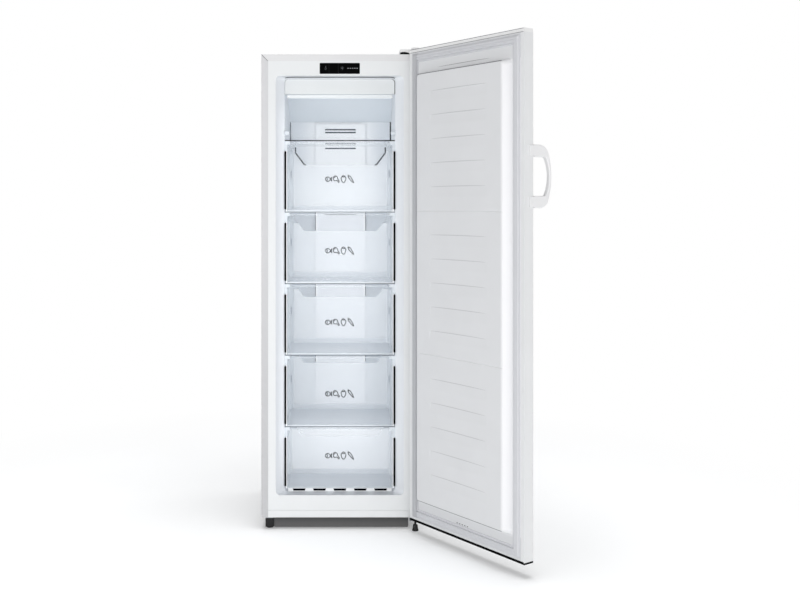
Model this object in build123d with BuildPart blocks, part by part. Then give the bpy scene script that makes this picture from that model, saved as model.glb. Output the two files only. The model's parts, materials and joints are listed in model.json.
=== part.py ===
from build123d import *
import os

# Upright freezer, free-standing, door hinged on the right and shown standing open.
# Millimetres. X to the right, Y to the back, Z up. The floor is Z = 0, X = 0 and Y = 0 are the
# middle of the cabinet's width and depth. Depths called "behind" are measured back from the
# cabinet's front plane, depths called "ahead" forward from it.

os.makedirs("parts", exist_ok=True)

# ---------------------------------------------------------------- driving sizes

cabinet_width = 554.0
cabinet_depth = 490.0
cabinet_top = 1677.0
cabinet_bottom = 43.0
sheet = 0.8  # steel sheet of the shell and the door
front_flange = 24.0  # folded edge of the shell around the front
rear_flange = 14.0
mitre_gap = 0.6
bond_gap = 0.2  # between the foam and the walls round it
side_gap = 0.3  # between loose pieces that lie side by side
running_clearance = 0.06  # radial, pins and axles in their holes

frame_thickness = 3.0  # plastic frame round the cavity's mouth
frame_tuck = 10.0  # how far the frame reaches under the shell's flanges
seam_height = 68.0  # joint between the frame and the lower front strip
seam_gap = 0.6

side_insulation = 51.0  # from the cabinet's side to the mouth's edge
top_insulation = 75.0
rear_insulation = 50.0
mouth_bottom = 121.0
mouth_radius = 16.0
mouth_slope = 28.0  # how far each side of the mouth leans in to the straight walls
mouth_top_slope = 5.0
cavity_radius = 13.0
cavity_start = 50.0  # behind, where the sloping mouth meets the straight walls
liner_wall = 2.0
liner_lip = 2.5
bay_depth = 190.0  # compressor bay, from its front wall to the cabinet's rear
bay_top = 287.0
step_wall = 50.0  # insulation between the bay and the liner's step
step_roof = 48.0

top_shelf_drop = 221.0  # from the cavity's ceiling to the top shelf
bottom_shelf_rise = 231.0  # from the cavity's floor to the lowest shelf
shelf_count = 5
shelf_thickness = 4.0
shelf_rear_gap = 18.0  # from the shelves to the evaporator cover
rail_reach = 19.0
rail_height = 12.0
rail_end = 52.0  # how far the rails stop short of the shelves' rear edge
rail_stop_reach = 9.5
rail_stop_height = 22.0
rail_stop_length = 12.0
floor_rail_height = 11.7
floor_rail_width = 16.0
floor_rail_inset = 48.0
floor_rail_start = 14.0

drawer_wall = 2.2
drawer_side_room = 12.0  # from the cavity's wall to the drawer's side
front_side_room = 5.5
drawer_front = 50.0  # behind
drawer_rear_room = 27.0  # from the drawer to the line of the shelves' rear edge
bottom_drawer_room = 13.0  # from the bottom drawer to the liner's step
drawer_corner = 9.0
drawer_rim_drop = 14.0  # from the shelf above to the top of the drawer's sides
front_step_drop = 34.5  # from the shelf above to where the front narrows
drawer_head_room = 4.0  # from the shelf above to the top of the front
grip_side_room = 19.5
grip_reach = 12.0
grip_lip = 6.0
notch_side_room = 23.0  # from the cavity's wall to the notch in the drawer's rear wall
notch_shoulder_drop = 26.0
notch_drop = 73.0
notch_slope = 35.0
drawer_foot_height = 4.0
drawer_foot_reach = 2.5

flap_thickness = 2.5
flap_side_room = 10.0
flap_neck_room = 19.0
flap_neck_rise = 60.0  # above the top shelf
flap_bottom_rise = 10.0
flap_lip_height = 12.0
flap_lip_reach = 10.0
flap_pivot_rise = 27.0
flap_pivot_behind = 53.0
flap_panel_behind = 57.0
flap_pin_radius = 3.0
flap_boss_radius = 7.5
flap_boss_length = 15.0

fascia_height = 55.0
fascia_gap = 3.0  # between the fascia and the flap
cover_room = 40.0  # space for the evaporator in front of the liner's rear wall
cover_wall = 2.5
duct_half_width = 97.0
duct_depth = 14.0
duct_margin = 9.0
slot_half_width = 60.5
slot_height = 4.5
top_slot_rises = (65.0, 54.0, 11.0, -9.0)  # air slots, above and below the top shelf's height
lower_slot_drop = 11.5  # one more slot, below the second shelf's height
fan_cover_reach = 138.0  # from the fan cover's front to the evaporator cover
fan_cover_knee_drop = 49.0  # below the cavity's ceiling
fan_cover_foot_drop = 126.0

fan_drop = 69.0  # below the cavity's ceiling
fan_radius = 46.0
fan_hub_radius = 17.0
fan_room = 32.0
fan_blade_count = 5

door_gap = 8.0  # from the cabinet's front plane to the door's inner face
door_thickness = 42.0
door_bottom_gap = 2.0  # from the lower hinge plate to the door
door_rise = 10.0  # how far the door stands above the cabinet
top_cap_height = 12.0
bottom_cap_height = 6.0
door_corner_radius = 6.0
door_flange = 14.0
door_liner_wall = 3.0
door_open_angle = 125.5
hinge_inset = 10.0  # from the cabinet's right edge to the hinge axis
hinge_ahead = 28.0
hinge_pin_radius = 4.0
bush_radius = 8.0
bush_length = 17.0
bush_flange_radius = 9.5
hinge_plate = 3.0

plateau_gap = 1.0  # between the mouth's edge and the foot of the door's raised middle
plateau_bottom_gap = 3.0
plateau_top_gap = 2.0
plateau_rise = 25.0
plateau_slope = 18.0  # how far each side of the plateau leans in
plateau_slope_ends = 9.0  # the same at its top and bottom
plateau_radius = 18.0
rib_top_margin = 72.3
rib_bottom_margin = 112.5
rib_rows = 17
plain_rows = (5, 11)  # rows where a crease across the whole plateau takes the rib's place
rib_side_margin = 87.0
rib_height = 32.0
rib_depth = 2.0
crease_width = 4.0
crease_depth = 1.6

gasket_margin = 16.5
gasket_width = 32.0
gasket_base = 2.0
gasket_bulb_width = 19.0
gasket_bulb_offset = 5.0

handle_bottom = 1135.0
handle_top = 1331.0
handle_leg_height = 38.0
handle_reach = 74.0  # ahead of the door's outer face, at the middle of the bow
handle_shoulder = 50.0  # the same where the bow meets its legs
handle_shoulder_radius = 40.0
hole_shoulder = 48.0
hole_shoulder_radius = 12.0
handle_bar = 9.0  # the bow's thickness at its middle
handle_outboard = 4.0  # how far the feet stand out from the door's edge
handle_width = 14.0
handle_rounding = 3.0
handle_foot_wrap = 21.0  # how far the feet lap round the door's edge
handle_foot_root = 12.0
handle_screw_radius = 1.8
handle_screw_length = 12.0
handle_head_radius = 3.6
handle_head = 1.5
handle_head_sink = 2.0

display_width = 142.0
display_height = 39.0
display_drop = 69.0  # from the cabinet's top to the display's lower edge
display_radius = 3.5

foot_radius = 11.0
foot_top_radius = 8.0
foot_rim = 4.7
foot_height = 21.0
foot_stud_radius = 4.0
left_foot_inset = 28.5
left_foot_behind = 31.0
right_foot_inset = 11.0
right_foot_ahead = 9.0
foot_block_width = 30.0
foot_block_depth = 30.0
foot_block_bottom = 5.0
roller_radius = 15.0
roller_width = 20.0
roller_inset = 52.0
roller_rear_inset = 45.0
axle_radius = 4.0
ear_thickness = 3.0
ear_gap = 1.0  # each side of a roller

plinth_behind = 20.0
plinth_right_inset = 34.0
plinth_gap = 0.5
plinth_bottom = 3.0
base_thickness = 2.0
shield = 1.0

# ---------------------------------------------------------------- derived places

half_width = cabinet_width / 2
front = -cabinet_depth / 2
rear = cabinet_depth / 2
inner_half_width = half_width - sheet
frame_front = front + sheet
frame_back = frame_front + frame_thickness
base_top = cabinet_bottom + base_thickness
mouth_width = cabinet_width - 2 * side_insulation
mouth_top = cabinet_top - top_insulation
cavity_width = mouth_width - 2 * mouth_slope
cavity_half_width = cavity_width / 2
cavity_top = mouth_top - mouth_top_slope
cavity_end = cabinet_depth - rear_insulation
bay_front = cabinet_depth - bay_depth
step_front = bay_front - step_wall
step_top = bay_top + step_roof
shelf_top_line = cavity_top - top_shelf_drop
shelf_pitch = (shelf_top_line - mouth_bottom - bottom_shelf_rise) / (shelf_count - 1)
shelf_lines = [shelf_top_line - shelf_pitch * level for level in range(shelf_count)]
cover_behind = cavity_end - cover_room
shelf_rear = cover_behind - shelf_rear_gap
rail_rear = shelf_rear - rail_end
drawer_rear = shelf_rear - drawer_rear_room
bottom_drawer_rear = step_front - bottom_drawer_room
drawer_half_width = cavity_half_width - drawer_side_room
drawer_front_half_width = cavity_half_width - front_side_room
grip_half_width = cavity_half_width - grip_side_room
notch_half_width = cavity_half_width - notch_side_room
fascia_bottom = cavity_top - fascia_height
flap_top = fascia_bottom - fascia_gap
flap_half_width = cavity_half_width - flap_side_room
flap_neck_half_width = cavity_half_width - flap_neck_room
flap_neck_top = shelf_top_line + flap_neck_rise
flap_bottom = shelf_top_line + flap_bottom_rise
flap_pivot_height = shelf_top_line + flap_pivot_rise
fan_cover_front = cover_behind - fan_cover_reach
fan_cover_knee = cavity_top - fan_cover_knee_drop
fan_cover_foot = cavity_top - fan_cover_foot_drop
fan_height = cavity_top - fan_drop
fan_behind = cavity_end - fan_room
display_bottom = cabinet_top - display_drop
hinge_x = half_width - hinge_inset
hinge_y = front - hinge_ahead
door_bottom = cabinet_bottom + door_bottom_gap
door_top = cabinet_top + door_rise
door_inner = front - door_gap
door_outer = door_inner - door_thickness
door_middle = (door_inner + door_outer) / 2
plateau_width = mouth_width - 2 * plateau_gap
plateau_bottom = mouth_bottom + plateau_bottom_gap
plateau_top = mouth_top - plateau_top_gap
rib_top = plateau_top - rib_top_margin
rib_pitch = (rib_top - plateau_bottom - rib_bottom_margin) / (rib_rows - 1)
rib_half_length = plateau_width / 2 - rib_side_margin
left_foot_x = -half_width + left_foot_inset
roller_x = half_width - roller_inset
roller_behind = cabinet_depth - roller_rear_inset
plinth_left = left_foot_x + foot_block_width / 2 + plinth_gap
plinth_right = half_width - plinth_right_inset
swing_open = Pos(hinge_x, hinge_y, 0) * Rot(0, 0, door_open_angle) * Pos(-hinge_x, -hinge_y, 0)


def upright(y):
    """A sketch plane across the cabinet at depth y; a positive extrusion goes to the front."""
    return Plane.XZ.offset(-y)


def write_on_door(piece, name):
    """Swing a piece that was made on the closed door to where the door stands open, and write it."""
    opened = piece.part.moved(swing_open)
    opened.label = name
    export_step(opened, f"parts/{name}.step")


# ---------------------------------------------------------------- painted steel shell

# Left side: one bent sheet with a flange round the front, mitred at the top, and one at the back.
with BuildPart() as side_panel_left:
    with BuildSketch(Plane.XY.offset(cabinet_bottom)):
        with BuildLine():
            Polyline(
                (-half_width, front),
                (-half_width + front_flange, front),
                (-half_width + front_flange, front + sheet),
                (-inner_half_width, front + sheet),
                (-inner_half_width, rear - 2 * sheet),
                (-half_width + rear_flange, rear - 2 * sheet),
                (-half_width + rear_flange, rear - sheet),
                (-half_width, rear - sheet),
                close=True,
            )
        make_face()
    extrude(amount=cabinet_top - sheet - cabinet_bottom)
    with BuildSketch(upright(front)):
        with BuildLine():
            Polyline(
                (-half_width, cabinet_top - mitre_gap),
                (-half_width + front_flange, cabinet_top - front_flange - mitre_gap),
                (-half_width + front_flange, cabinet_top),
                (-half_width, cabinet_top),
                close=True,
            )
        make_face()
    extrude(amount=-sheet, mode=Mode.SUBTRACT)
side_panel_left.part.label = "side_panel_left"
export_step(side_panel_left.part, "parts/side_panel_left.step")

# Right side: the left one's mirror image.
with BuildPart() as side_panel_right:
    mirror(side_panel_left.part, about=Plane.YZ)
side_panel_right.part.label = "side_panel_right"
export_step(side_panel_right.part, "parts/side_panel_right.step")

# Screws of the upper hinge plate stand in the top panel, so their places are settled here.
upper_plate_left = half_width - 64.0
upper_plate_depth = 56.0
upper_screws = [(half_width - 54.0, 18.0), (half_width - 36.0, 42.0), (half_width - 14.0, 30.0)]
screw_radius = 2.5
screw_head_radius = 5.0
screw_head = 2.6
screw_play = 0.1

# Top: lies on both sides, with a mitred flange along the front.
with BuildPart() as top_panel:
    with BuildSketch(Plane.XY.offset(cabinet_top - sheet)):
        Rectangle(cabinet_width, cabinet_depth)
    extrude(amount=sheet)
    with BuildSketch(upright(front)):
        with BuildLine():
            Polyline(
                (-half_width, cabinet_top),
                (-half_width + front_flange, cabinet_top - front_flange),
                (half_width - front_flange, cabinet_top - front_flange),
                (half_width, cabinet_top),
                close=True,
            )
        make_face()
    extrude(amount=-sheet)
    with Locations([(x, front + behind, cabinet_top) for x, behind in upper_screws]):
        Cylinder(screw_radius + screw_play, 4 * sheet, mode=Mode.SUBTRACT)
top_panel.part.label = "top_panel"
export_step(top_panel.part, "parts/top_panel.step")

bead_margin = 135.0
bead_side_inset = 138.5
bead_width = 14.0
bead_rise = 1.6

# Rear wall: flat sheet with two pressed beads, from the compressor bay to the top.
with BuildPart() as rear_panel:
    with BuildSketch(upright(rear)):
        with Locations((0, (bay_top + cabinet_top - sheet) / 2)):
            Rectangle(cabinet_width, cabinet_top - sheet - bay_top)
    extrude(amount=sheet)
    with BuildSketch(upright(rear)):
        bead_x = half_width - bead_side_inset
        bead_length = cabinet_top - bay_top - 2 * bead_margin
        with Locations([(side * bead_x, (cabinet_top + bay_top) / 2) for side in (-1, 1)]):
            SlotOverall(bead_length, bead_width, rotation=90)
    extrude(amount=-bead_rise)
rear_panel.part.label = "rear_panel"
export_step(rear_panel.part, "parts/rear_panel.step")

lower_bracket_left = half_width - 33.0
lower_bracket_depth = 60.0
lower_bracket_reach = hinge_ahead + 10.0
lower_screws = [(half_width - 20.0, 24.0), (half_width - 20.0, 46.0)]
foot_plate_half_width = 14.0
foot_plate_depth = 44.0
foot_plate_start = 5.0
ear_bottom = 8.0
ear_width = 28.0
compressor_inset = 172.0  # from the cabinet's left side
compressor_rear_inset = 94.0
mount_spread_x = 78.0
mount_spread_y = 52.0
mount_stud_radius = 3.0
compressor_x = -half_width + compressor_inset
compressor_behind = cabinet_depth - compressor_rear_inset

# Base: steel floor of the cabinet, stepped up over the compressor bay, with the left foot's
# doubling plate and the rollers' ears.
with BuildPart() as base_frame:
    with BuildSketch(Plane.XY.offset(cabinet_bottom)):
        with Locations((0, (frame_back + rear - 2 * sheet) / 2)):
            Rectangle(2 * inner_half_width, rear - 2 * sheet - frame_back)
    extrude(amount=base_thickness)
    with BuildSketch(Plane.XY.offset(cabinet_bottom)):
        with Locations((left_foot_x, front + foot_plate_start + foot_plate_depth / 2)):
            Rectangle(2 * foot_plate_half_width, foot_plate_depth)
    extrude(amount=-hinge_plate)
    for side in (-1, 1):
        for edge in (-1, 1):
            ear_middle = side * roller_x + edge * (roller_width / 2 + ear_gap + ear_thickness / 2)
            with BuildSketch(Plane.YZ.offset(ear_middle - ear_thickness / 2)):
                with Locations((front + roller_behind, (ear_bottom + cabinet_bottom) / 2)):
                    Rectangle(ear_width, cabinet_bottom - ear_bottom)
            extrude(amount=ear_thickness)
    with Locations((0, front + roller_behind, roller_radius)):
        Cylinder(
            axle_radius + running_clearance,
            cabinet_width,
            rotation=(0, 90, 0),
            mode=Mode.SUBTRACT,
        )
    with Locations((left_foot_x, front + left_foot_behind, cabinet_bottom)):
        Cylinder(foot_stud_radius + running_clearance, 4 * hinge_plate, mode=Mode.SUBTRACT)
    with Locations([(x, front + behind, cabinet_bottom) for x, behind in lower_screws]):
        Cylinder(screw_radius + screw_play, 4 * base_thickness, mode=Mode.SUBTRACT)
    with Locations((compressor_x, front + compressor_behind, cabinet_bottom)):
        with GridLocations(2 * mount_spread_x, 2 * mount_spread_y, 2, 2):
            Cylinder(mount_stud_radius, 4 * base_thickness, mode=Mode.SUBTRACT)
    with BuildSketch(Plane.YZ):
        with BuildLine():
            Polyline(
                (front + bay_front, base_top),
                (front + bay_front + shield, base_top),
                (front + bay_front + shield, bay_top - shield),
                (rear - 2 * sheet, bay_top - shield),
                (rear - 2 * sheet, bay_top),
                (front + bay_front, bay_top),
                close=True,
            )
        make_face()
    extrude(amount=inner_half_width - side_gap, both=True)
    side_notch = rear_flange - sheet + side_gap
    with Locations(
        (inner_half_width, rear - 2 * sheet, bay_top),
        (-inner_half_width, rear - 2 * sheet, bay_top),
    ):
        Box(2 * side_notch, 4 * sheet, 4 * shield, mode=Mode.SUBTRACT)
base_frame.part.label = "base_frame"
export_step(base_frame.part, "parts/base_frame.step")

# ---------------------------------------------------------------- front frame and plinth

# White plastic frame round the cavity, tucked under the shell's flanges, with the display's window.
with BuildPart() as front_frame:
    frame_half_width = half_width - front_flange + frame_tuck
    frame_bottom = seam_height + seam_gap / 2
    frame_top = cabinet_top - front_flange + frame_tuck
    with BuildSketch(upright(frame_front)):
        with Locations((0, (frame_bottom + frame_top) / 2)):
            Rectangle(2 * frame_half_width, frame_top - frame_bottom)
        with Locations((0, (mouth_bottom + mouth_top) / 2)):
            RectangleRounded(mouth_width, mouth_top - mouth_bottom, mouth_radius, mode=Mode.SUBTRACT)
        with Locations((0, display_bottom + display_height / 2)):
            RectangleRounded(display_width, display_height, display_radius, mode=Mode.SUBTRACT)
    extrude(amount=-frame_thickness)
front_frame.part.label = "front_frame"
export_step(front_frame.part, "parts/front_frame.step")

# White strip across the front below the frame.
with BuildPart() as lower_front_panel:
    strip_top = seam_height - seam_gap / 2
    with BuildSketch(upright(frame_front)):
        with Locations((0, (cabinet_bottom + strip_top) / 2)):
            Rectangle(2 * frame_half_width, strip_top - cabinet_bottom)
    extrude(amount=-frame_thickness)
lower_front_panel.part.label = "lower_front_panel"
export_step(lower_front_panel.part, "parts/lower_front_panel.step")

plinth_wall = 2.5
plinth_shelf = 14.0
plinth_corner = 5.0

# Dark plinth, set back under the cabinet: a strip with a top shelf that is fixed to the base.
with BuildPart() as plinth:
    plinth_width = plinth_right - plinth_left
    plinth_middle = (plinth_right + plinth_left) / 2
    with BuildSketch(upright(front + plinth_behind)):
        with Locations((plinth_middle, (plinth_bottom + cabinet_bottom) / 2)):
            Rectangle(plinth_width, cabinet_bottom - plinth_bottom)
    extrude(amount=-plinth_wall)
    with BuildSketch(Plane.XY.offset(cabinet_bottom)):
        with Locations((plinth_middle, front + plinth_behind + plinth_shelf / 2)):
            Rectangle(plinth_width, plinth_shelf)
    extrude(amount=-plinth_wall)
    lower_corners = plinth.edges().filter_by(Axis.Y).group_by(Axis.Z)[0]
    fillet(lower_corners, plinth_corner)
plinth.part.label = "plinth"
export_step(plinth.part, "parts/plinth.step")

# Black glossy display window, a push fit in the frame.
display_recess = 0.3
with BuildPart() as display_window:
    with BuildSketch(upright(frame_front + display_recess)):
        with Locations((0, display_bottom + display_height / 2)):
            RectangleRounded(
                display_width - 2 * bond_gap,
                display_height - 2 * bond_gap,
                display_radius - bond_gap,
            )
    extrude(amount=-(frame_thickness - display_recess))
display_window.part.label = "display_window"
export_step(display_window.part, "parts/display_window.step")

board_thickness = 1.6
board_overlap = 3.0
chip_size = (16.0, 12.0, 3.0)

# Control board behind the display, with its row of chips on the back.
with BuildPart() as control_board:
    with BuildSketch(upright(frame_back)):
        with Locations((0, display_bottom + display_height / 2)):
            Rectangle(display_width + 2 * board_overlap, display_height + 2 * board_overlap)
    extrude(amount=-board_thickness)
    chip_y = frame_back + board_thickness + chip_size[2] / 2
    with Locations((0, chip_y, display_bottom + display_height / 2)):
        with GridLocations(display_width / 4, 1, 4, 1):
            Box(chip_size[0], chip_size[2], chip_size[1])
control_board.part.label = "control_board"
export_step(control_board.part, "parts/control_board.step")

# ---------------------------------------------------------------- liner and foam


def liner_shape(grow):
    """The freezer's inner space, grown outwards by grow on every side but its open mouth."""
    with BuildPart() as space:
        mouth_height = mouth_top - mouth_bottom + 2 * grow
        cavity_height = cavity_top - mouth_bottom + 2 * grow
        with BuildSketch(upright(frame_back)):
            with Locations((0, (mouth_bottom + mouth_top) / 2)):
                RectangleRounded(mouth_width + 2 * grow, mouth_height, mouth_radius + grow)
        with BuildSketch(upright(front + cavity_start)):
            with Locations((0, (mouth_bottom + cavity_top) / 2)):
                RectangleRounded(cavity_width + 2 * grow, cavity_height, cavity_radius + grow)
        loft()
        with BuildSketch(upright(front + cavity_start)):
            with Locations((0, (mouth_bottom + cavity_top) / 2)):
                RectangleRounded(cavity_width + 2 * grow, cavity_height, cavity_radius + grow)
        extrude(amount=-(cavity_end - cavity_start + grow))
        with BuildSketch(Plane.YZ):
            with BuildLine():
                Polyline(
                    (front + step_front + grow, mouth_bottom - cavity_radius - grow),
                    (front + step_front + grow, step_top - grow),
                    (rear, step_top - grow),
                    (rear, mouth_bottom - cavity_radius - grow),
                    close=True,
                )
            make_face()
        extrude(amount=cabinet_width, both=True, mode=Mode.SUBTRACT)
    return space.part


inner_space = liner_shape(0)

# White plastic liner: sloping mouth, straight walls and the step over the compressor, one moulding.
with BuildPart() as inner_liner:
    add(liner_shape(liner_wall))
    with BuildSketch(upright(frame_back)):
        with Locations((0, (mouth_bottom + mouth_top) / 2)):
            RectangleRounded(
                mouth_width + 2 * liner_lip,
                mouth_top - mouth_bottom + 2 * liner_lip,
                mouth_radius + liner_lip,
            )
    extrude(amount=-liner_wall)
    add(inner_space, mode=Mode.SUBTRACT)
inner_liner.part.label = "inner_liner"
export_step(inner_liner.part, "parts/inner_liner.step")

coil_left = 54.0  # behind, where the condenser's runs turn at the front
coil_rear_inset = 60.0
coil_bottom = 380.0
coil_top_inset = 117.0
coil_passes = 13
coil_tube_radius = 2.4
coil_pocket = 5.6
coil_margin = 10.0
board_pocket_depth = 14.0
coil_right = cabinet_depth - coil_rear_inset
coil_top = cabinet_top - coil_top_inset

# Foam between the shell and the liner, with the pockets for the condenser and the control board.
with BuildPart() as insulation_foam:
    foam_front = frame_back + liner_wall + bond_gap
    foam_back = rear - 2 * sheet - bond_gap
    foam_bottom = base_top + bond_gap
    foam_top = cabinet_top - sheet - bond_gap
    with BuildSketch(upright(foam_front)):
        with Locations((0, (foam_bottom + foam_top) / 2)):
            Rectangle(2 * (inner_half_width - bond_gap), foam_top - foam_bottom)
    extrude(amount=-(foam_back - foam_front))
    add(liner_shape(liner_wall + bond_gap), mode=Mode.SUBTRACT)
    with BuildSketch(Plane.YZ):
        with BuildLine():
            Polyline(
                (front + bay_front - bond_gap, 0),
                (front + bay_front - bond_gap, bay_top + bond_gap),
                (rear, bay_top + bond_gap),
                (rear, 0),
                close=True,
            )
        make_face()
    extrude(amount=cabinet_width, both=True, mode=Mode.SUBTRACT)
    with BuildSketch(Plane.YZ.offset(-half_width)):
        coil_middle = (front + (coil_left + coil_right) / 2, (coil_bottom + coil_top) / 2)
        with Locations(coil_middle):
            Rectangle(
                coil_right - coil_left + 2 * coil_margin,
                coil_top - coil_bottom + 2 * coil_margin,
            )
    extrude(amount=sheet + coil_pocket, mode=Mode.SUBTRACT)
    with BuildSketch(upright(foam_front)):
        with Locations((0, display_bottom + display_height / 2)):
            Rectangle(
                display_width + 4 * board_overlap,
                display_height + 4 * board_overlap,
            )
    extrude(amount=-board_pocket_depth, mode=Mode.SUBTRACT)
insulation_foam.part.label = "insulation_foam"
export_step(insulation_foam.part, "parts/insulation_foam.step")

# Condenser: a serpentine tube on the inside of the left wall.
coil_pitch = (coil_top - coil_bottom) / (coil_passes - 1)
coil_x = -inner_half_width + coil_tube_radius + side_gap
coil_points = []
for run in range(coil_passes):
    height = coil_bottom + run * coil_pitch
    ends = (coil_left, coil_right) if run % 2 == 0 else (coil_right, coil_left)
    coil_points += [(coil_x, front + end, height) for end in ends]
coil_bend = coil_pitch * 0.45
with BuildPart() as condenser_coil:
    with BuildLine() as coil_line:
        FilletPolyline(*coil_points, radius=coil_bend)
    with BuildSketch(Plane(coil_points[0], z_dir=(0, 1, 0))):
        Circle(coil_tube_radius)
    sweep(path=coil_line.wires()[0])
condenser_coil.part.label = "condenser_coil"
export_step(condenser_coil.part, "parts/condenser_coil.step")

# ---------------------------------------------------------------- inside the cavity

# White fascia across the top of the cavity, with a short return along its lower edge.
fascia_wall = 2.5
fascia_return = 12.0
with BuildPart() as top_fascia:
    fascia_half_width = cavity_half_width - side_gap
    with BuildSketch(upright(front + cavity_start)):
        with Locations((0, (mouth_bottom + cavity_top) / 2)):
            RectangleRounded(
                2 * fascia_half_width,
                cavity_top - mouth_bottom - 2 * side_gap,
                cavity_radius - side_gap,
            )
    extrude(amount=-fascia_return)
    with BuildSketch(Plane.YZ):
        with BuildLine():
            Polyline(
                (front + cavity_start, fascia_bottom),
                (front + cavity_start + fascia_return, fascia_bottom),
                (front + cavity_start + fascia_return, fascia_bottom + fascia_wall),
                (front + cavity_start + fascia_wall, fascia_bottom + fascia_wall),
                (front + cavity_start + fascia_wall, cavity_top),
                (front + cavity_start, cavity_top),
                close=True,
            )
        make_face()
    extrude(amount=half_width, both=True, mode=Mode.INTERSECT)
top_fascia.part.label = "top_fascia"
export_step(top_fascia.part, "parts/top_fascia.step")

# Glass shelves, each on a pair of side rails.
for level, line in enumerate(shelf_lines, start=1):
    with BuildPart() as shelf:
        with BuildSketch(Plane.XY.offset(line - shelf_thickness / 2)):
            shelf_front = front + cavity_start + drawer_foot_reach
            with Locations((0, (shelf_front + front + shelf_rear) / 2)):
                RectangleRounded(
                    2 * (cavity_half_width - side_gap),
                    front + shelf_rear - shelf_front,
                    drawer_foot_reach,
                )
        extrude(amount=shelf_thickness)
    shelf.part.label = f"shelf_{level}"
    export_step(shelf.part, f"parts/shelf_{level}.step")

# White rails that carry the shelves, and the two floor rails under the bottom drawer.
rail_nose = 5.0
with BuildPart() as shelf_rails:
    rail_front = front + cavity_start + 1.5
    for line in shelf_lines:
        for side in (-1, 1):
            wall = side * cavity_half_width
            with BuildSketch(Plane.XY.offset(line - shelf_thickness / 2 - rail_height)):
                with BuildLine():
                    Polyline(
                        (wall, rail_front),
                        (wall - side * (rail_reach - rail_nose), rail_front),
                        (wall - side * rail_reach, rail_front + rail_nose),
                        (wall - side * rail_reach, front + rail_rear),
                        (wall, front + rail_rear),
                        close=True,
                    )
                make_face()
            extrude(amount=rail_height)
            with BuildSketch(Plane.XY.offset(line - shelf_thickness / 2 - rail_height)):
                stop_middle = rail_front + rail_nose + rail_stop_length / 2
                with Locations((wall - side * rail_stop_reach / 2, stop_middle)):
                    Rectangle(rail_stop_reach, rail_stop_length)
            extrude(amount=-rail_stop_height)
    for side in (-1, 1):
        with BuildSketch(Plane.XY.offset(mouth_bottom)):
            floor_rail_front = cavity_start + floor_rail_start
            floor_rail_x = side * (cavity_half_width - floor_rail_inset)
            with Locations((floor_rail_x, front + (floor_rail_front + bottom_drawer_rear) / 2)):
                Rectangle(floor_rail_width, bottom_drawer_rear - floor_rail_front)
        extrude(amount=floor_rail_height)
shelf_rails.part.label = "shelf_rails"
export_step(shelf_rails.part, "parts/shelf_rails.step")

# Air-return grille across the front of the cavity's floor: five slots between sloping feet.
grille_height = 11.0
grille_wall = 3.0
grille_slot = 47.0
grille_pitch = 73.0
grille_slot_height = 8.0
grille_slot_bottom = 1.5
with BuildPart() as air_return_grille:
    grille_front = front + cavity_start + 3.0
    with BuildSketch(upright(grille_front)):
        with Locations((0, mouth_bottom + grille_height / 2)):
            Rectangle(2 * (cavity_half_width - cavity_radius), grille_height)
        for column in range(-2, 3):
            with BuildLine():
                slot_low = mouth_bottom + grille_slot_bottom
                slot_high = slot_low + grille_slot_height
                Polyline(
                    (column * grille_pitch - grille_slot / 2 + 3, slot_low),
                    (column * grille_pitch + grille_slot / 2 - 3, slot_low),
                    (column * grille_pitch + grille_slot / 2, slot_high),
                    (column * grille_pitch - grille_slot / 2, slot_high),
                    close=True,
                )
            make_face(mode=Mode.SUBTRACT)
    extrude(amount=-grille_wall)
air_return_grille.part.label = "air_return_grille"
export_step(air_return_grille.part, "parts/air_return_grille.step")

# Evaporator cover: the cavity's visible rear wall, with a raised air duct up its middle.
with BuildPart() as evaporator_cover:
    cover_bottom = step_top + side_gap
    duct_bottom = step_top + duct_margin
    duct_top = fan_cover_foot - duct_margin
    with BuildSketch(upright(front + cover_behind)):
        with Locations((0, (cover_bottom + fan_cover_foot - side_gap) / 2)):
            Rectangle(2 * (cavity_half_width - side_gap), fan_cover_foot - side_gap - cover_bottom)
    extrude(amount=-cover_wall)
    with BuildSketch(upright(front + cover_behind)):
        with Locations((0, (duct_bottom + duct_top) / 2)):
            Rectangle(2 * duct_half_width, duct_top - duct_bottom)
    extrude(amount=duct_depth)
    with BuildSketch(upright(front + cover_behind + cover_wall)):
        with Locations((0, (duct_bottom + duct_top) / 2)):
            Rectangle(
                2 * (duct_half_width - cover_wall),
                duct_top - duct_bottom - 2 * cover_wall,
            )
    extrude(amount=duct_depth, mode=Mode.SUBTRACT)
    slot_heights = [shelf_top_line + rise for rise in top_slot_rises]
    slot_heights.append(shelf_lines[1] - lower_slot_drop)
    with BuildSketch(upright(front + cover_behind)):
        with Locations([(0, height) for height in slot_heights]):
            Rectangle(2 * slot_half_width, slot_height)
    extrude(amount=2 * duct_depth, mode=Mode.SUBTRACT)
evaporator_cover.part.label = "evaporator_cover"
export_step(evaporator_cover.part, "parts/evaporator_cover.step")

# Fan cover: a closed panel that slopes from the ceiling down to the evaporator cover. The fan
# behind it blows down into the duct, and the air comes out of the duct's slots.
with BuildPart() as fan_cover:
    with BuildSketch(upright(front + fan_cover_front)):
        with Locations((0, (mouth_bottom + cavity_top) / 2)):
            RectangleRounded(
                2 * (cavity_half_width - side_gap),
                cavity_top - mouth_bottom - 2 * side_gap,
                cavity_radius - side_gap,
            )
    extrude(amount=-(cover_behind + cover_wall - fan_cover_front))
    with BuildSketch(Plane.YZ):
        with BuildLine():
            Polyline(
                (front + fan_cover_front, cavity_top),
                (front + fan_cover_front, fan_cover_knee),
                (front + cover_behind - 2 * cover_wall, fan_cover_foot),
                (front + cover_behind + cover_wall, fan_cover_foot),
                (front + fan_cover_front + cover_wall, fan_cover_knee + cover_wall),
                (front + fan_cover_front + cover_wall, cavity_top),
                close=True,
            )
        make_face()
    extrude(amount=half_width, both=True, mode=Mode.INTERSECT)
fan_cover.part.label = "fan_cover"
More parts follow.
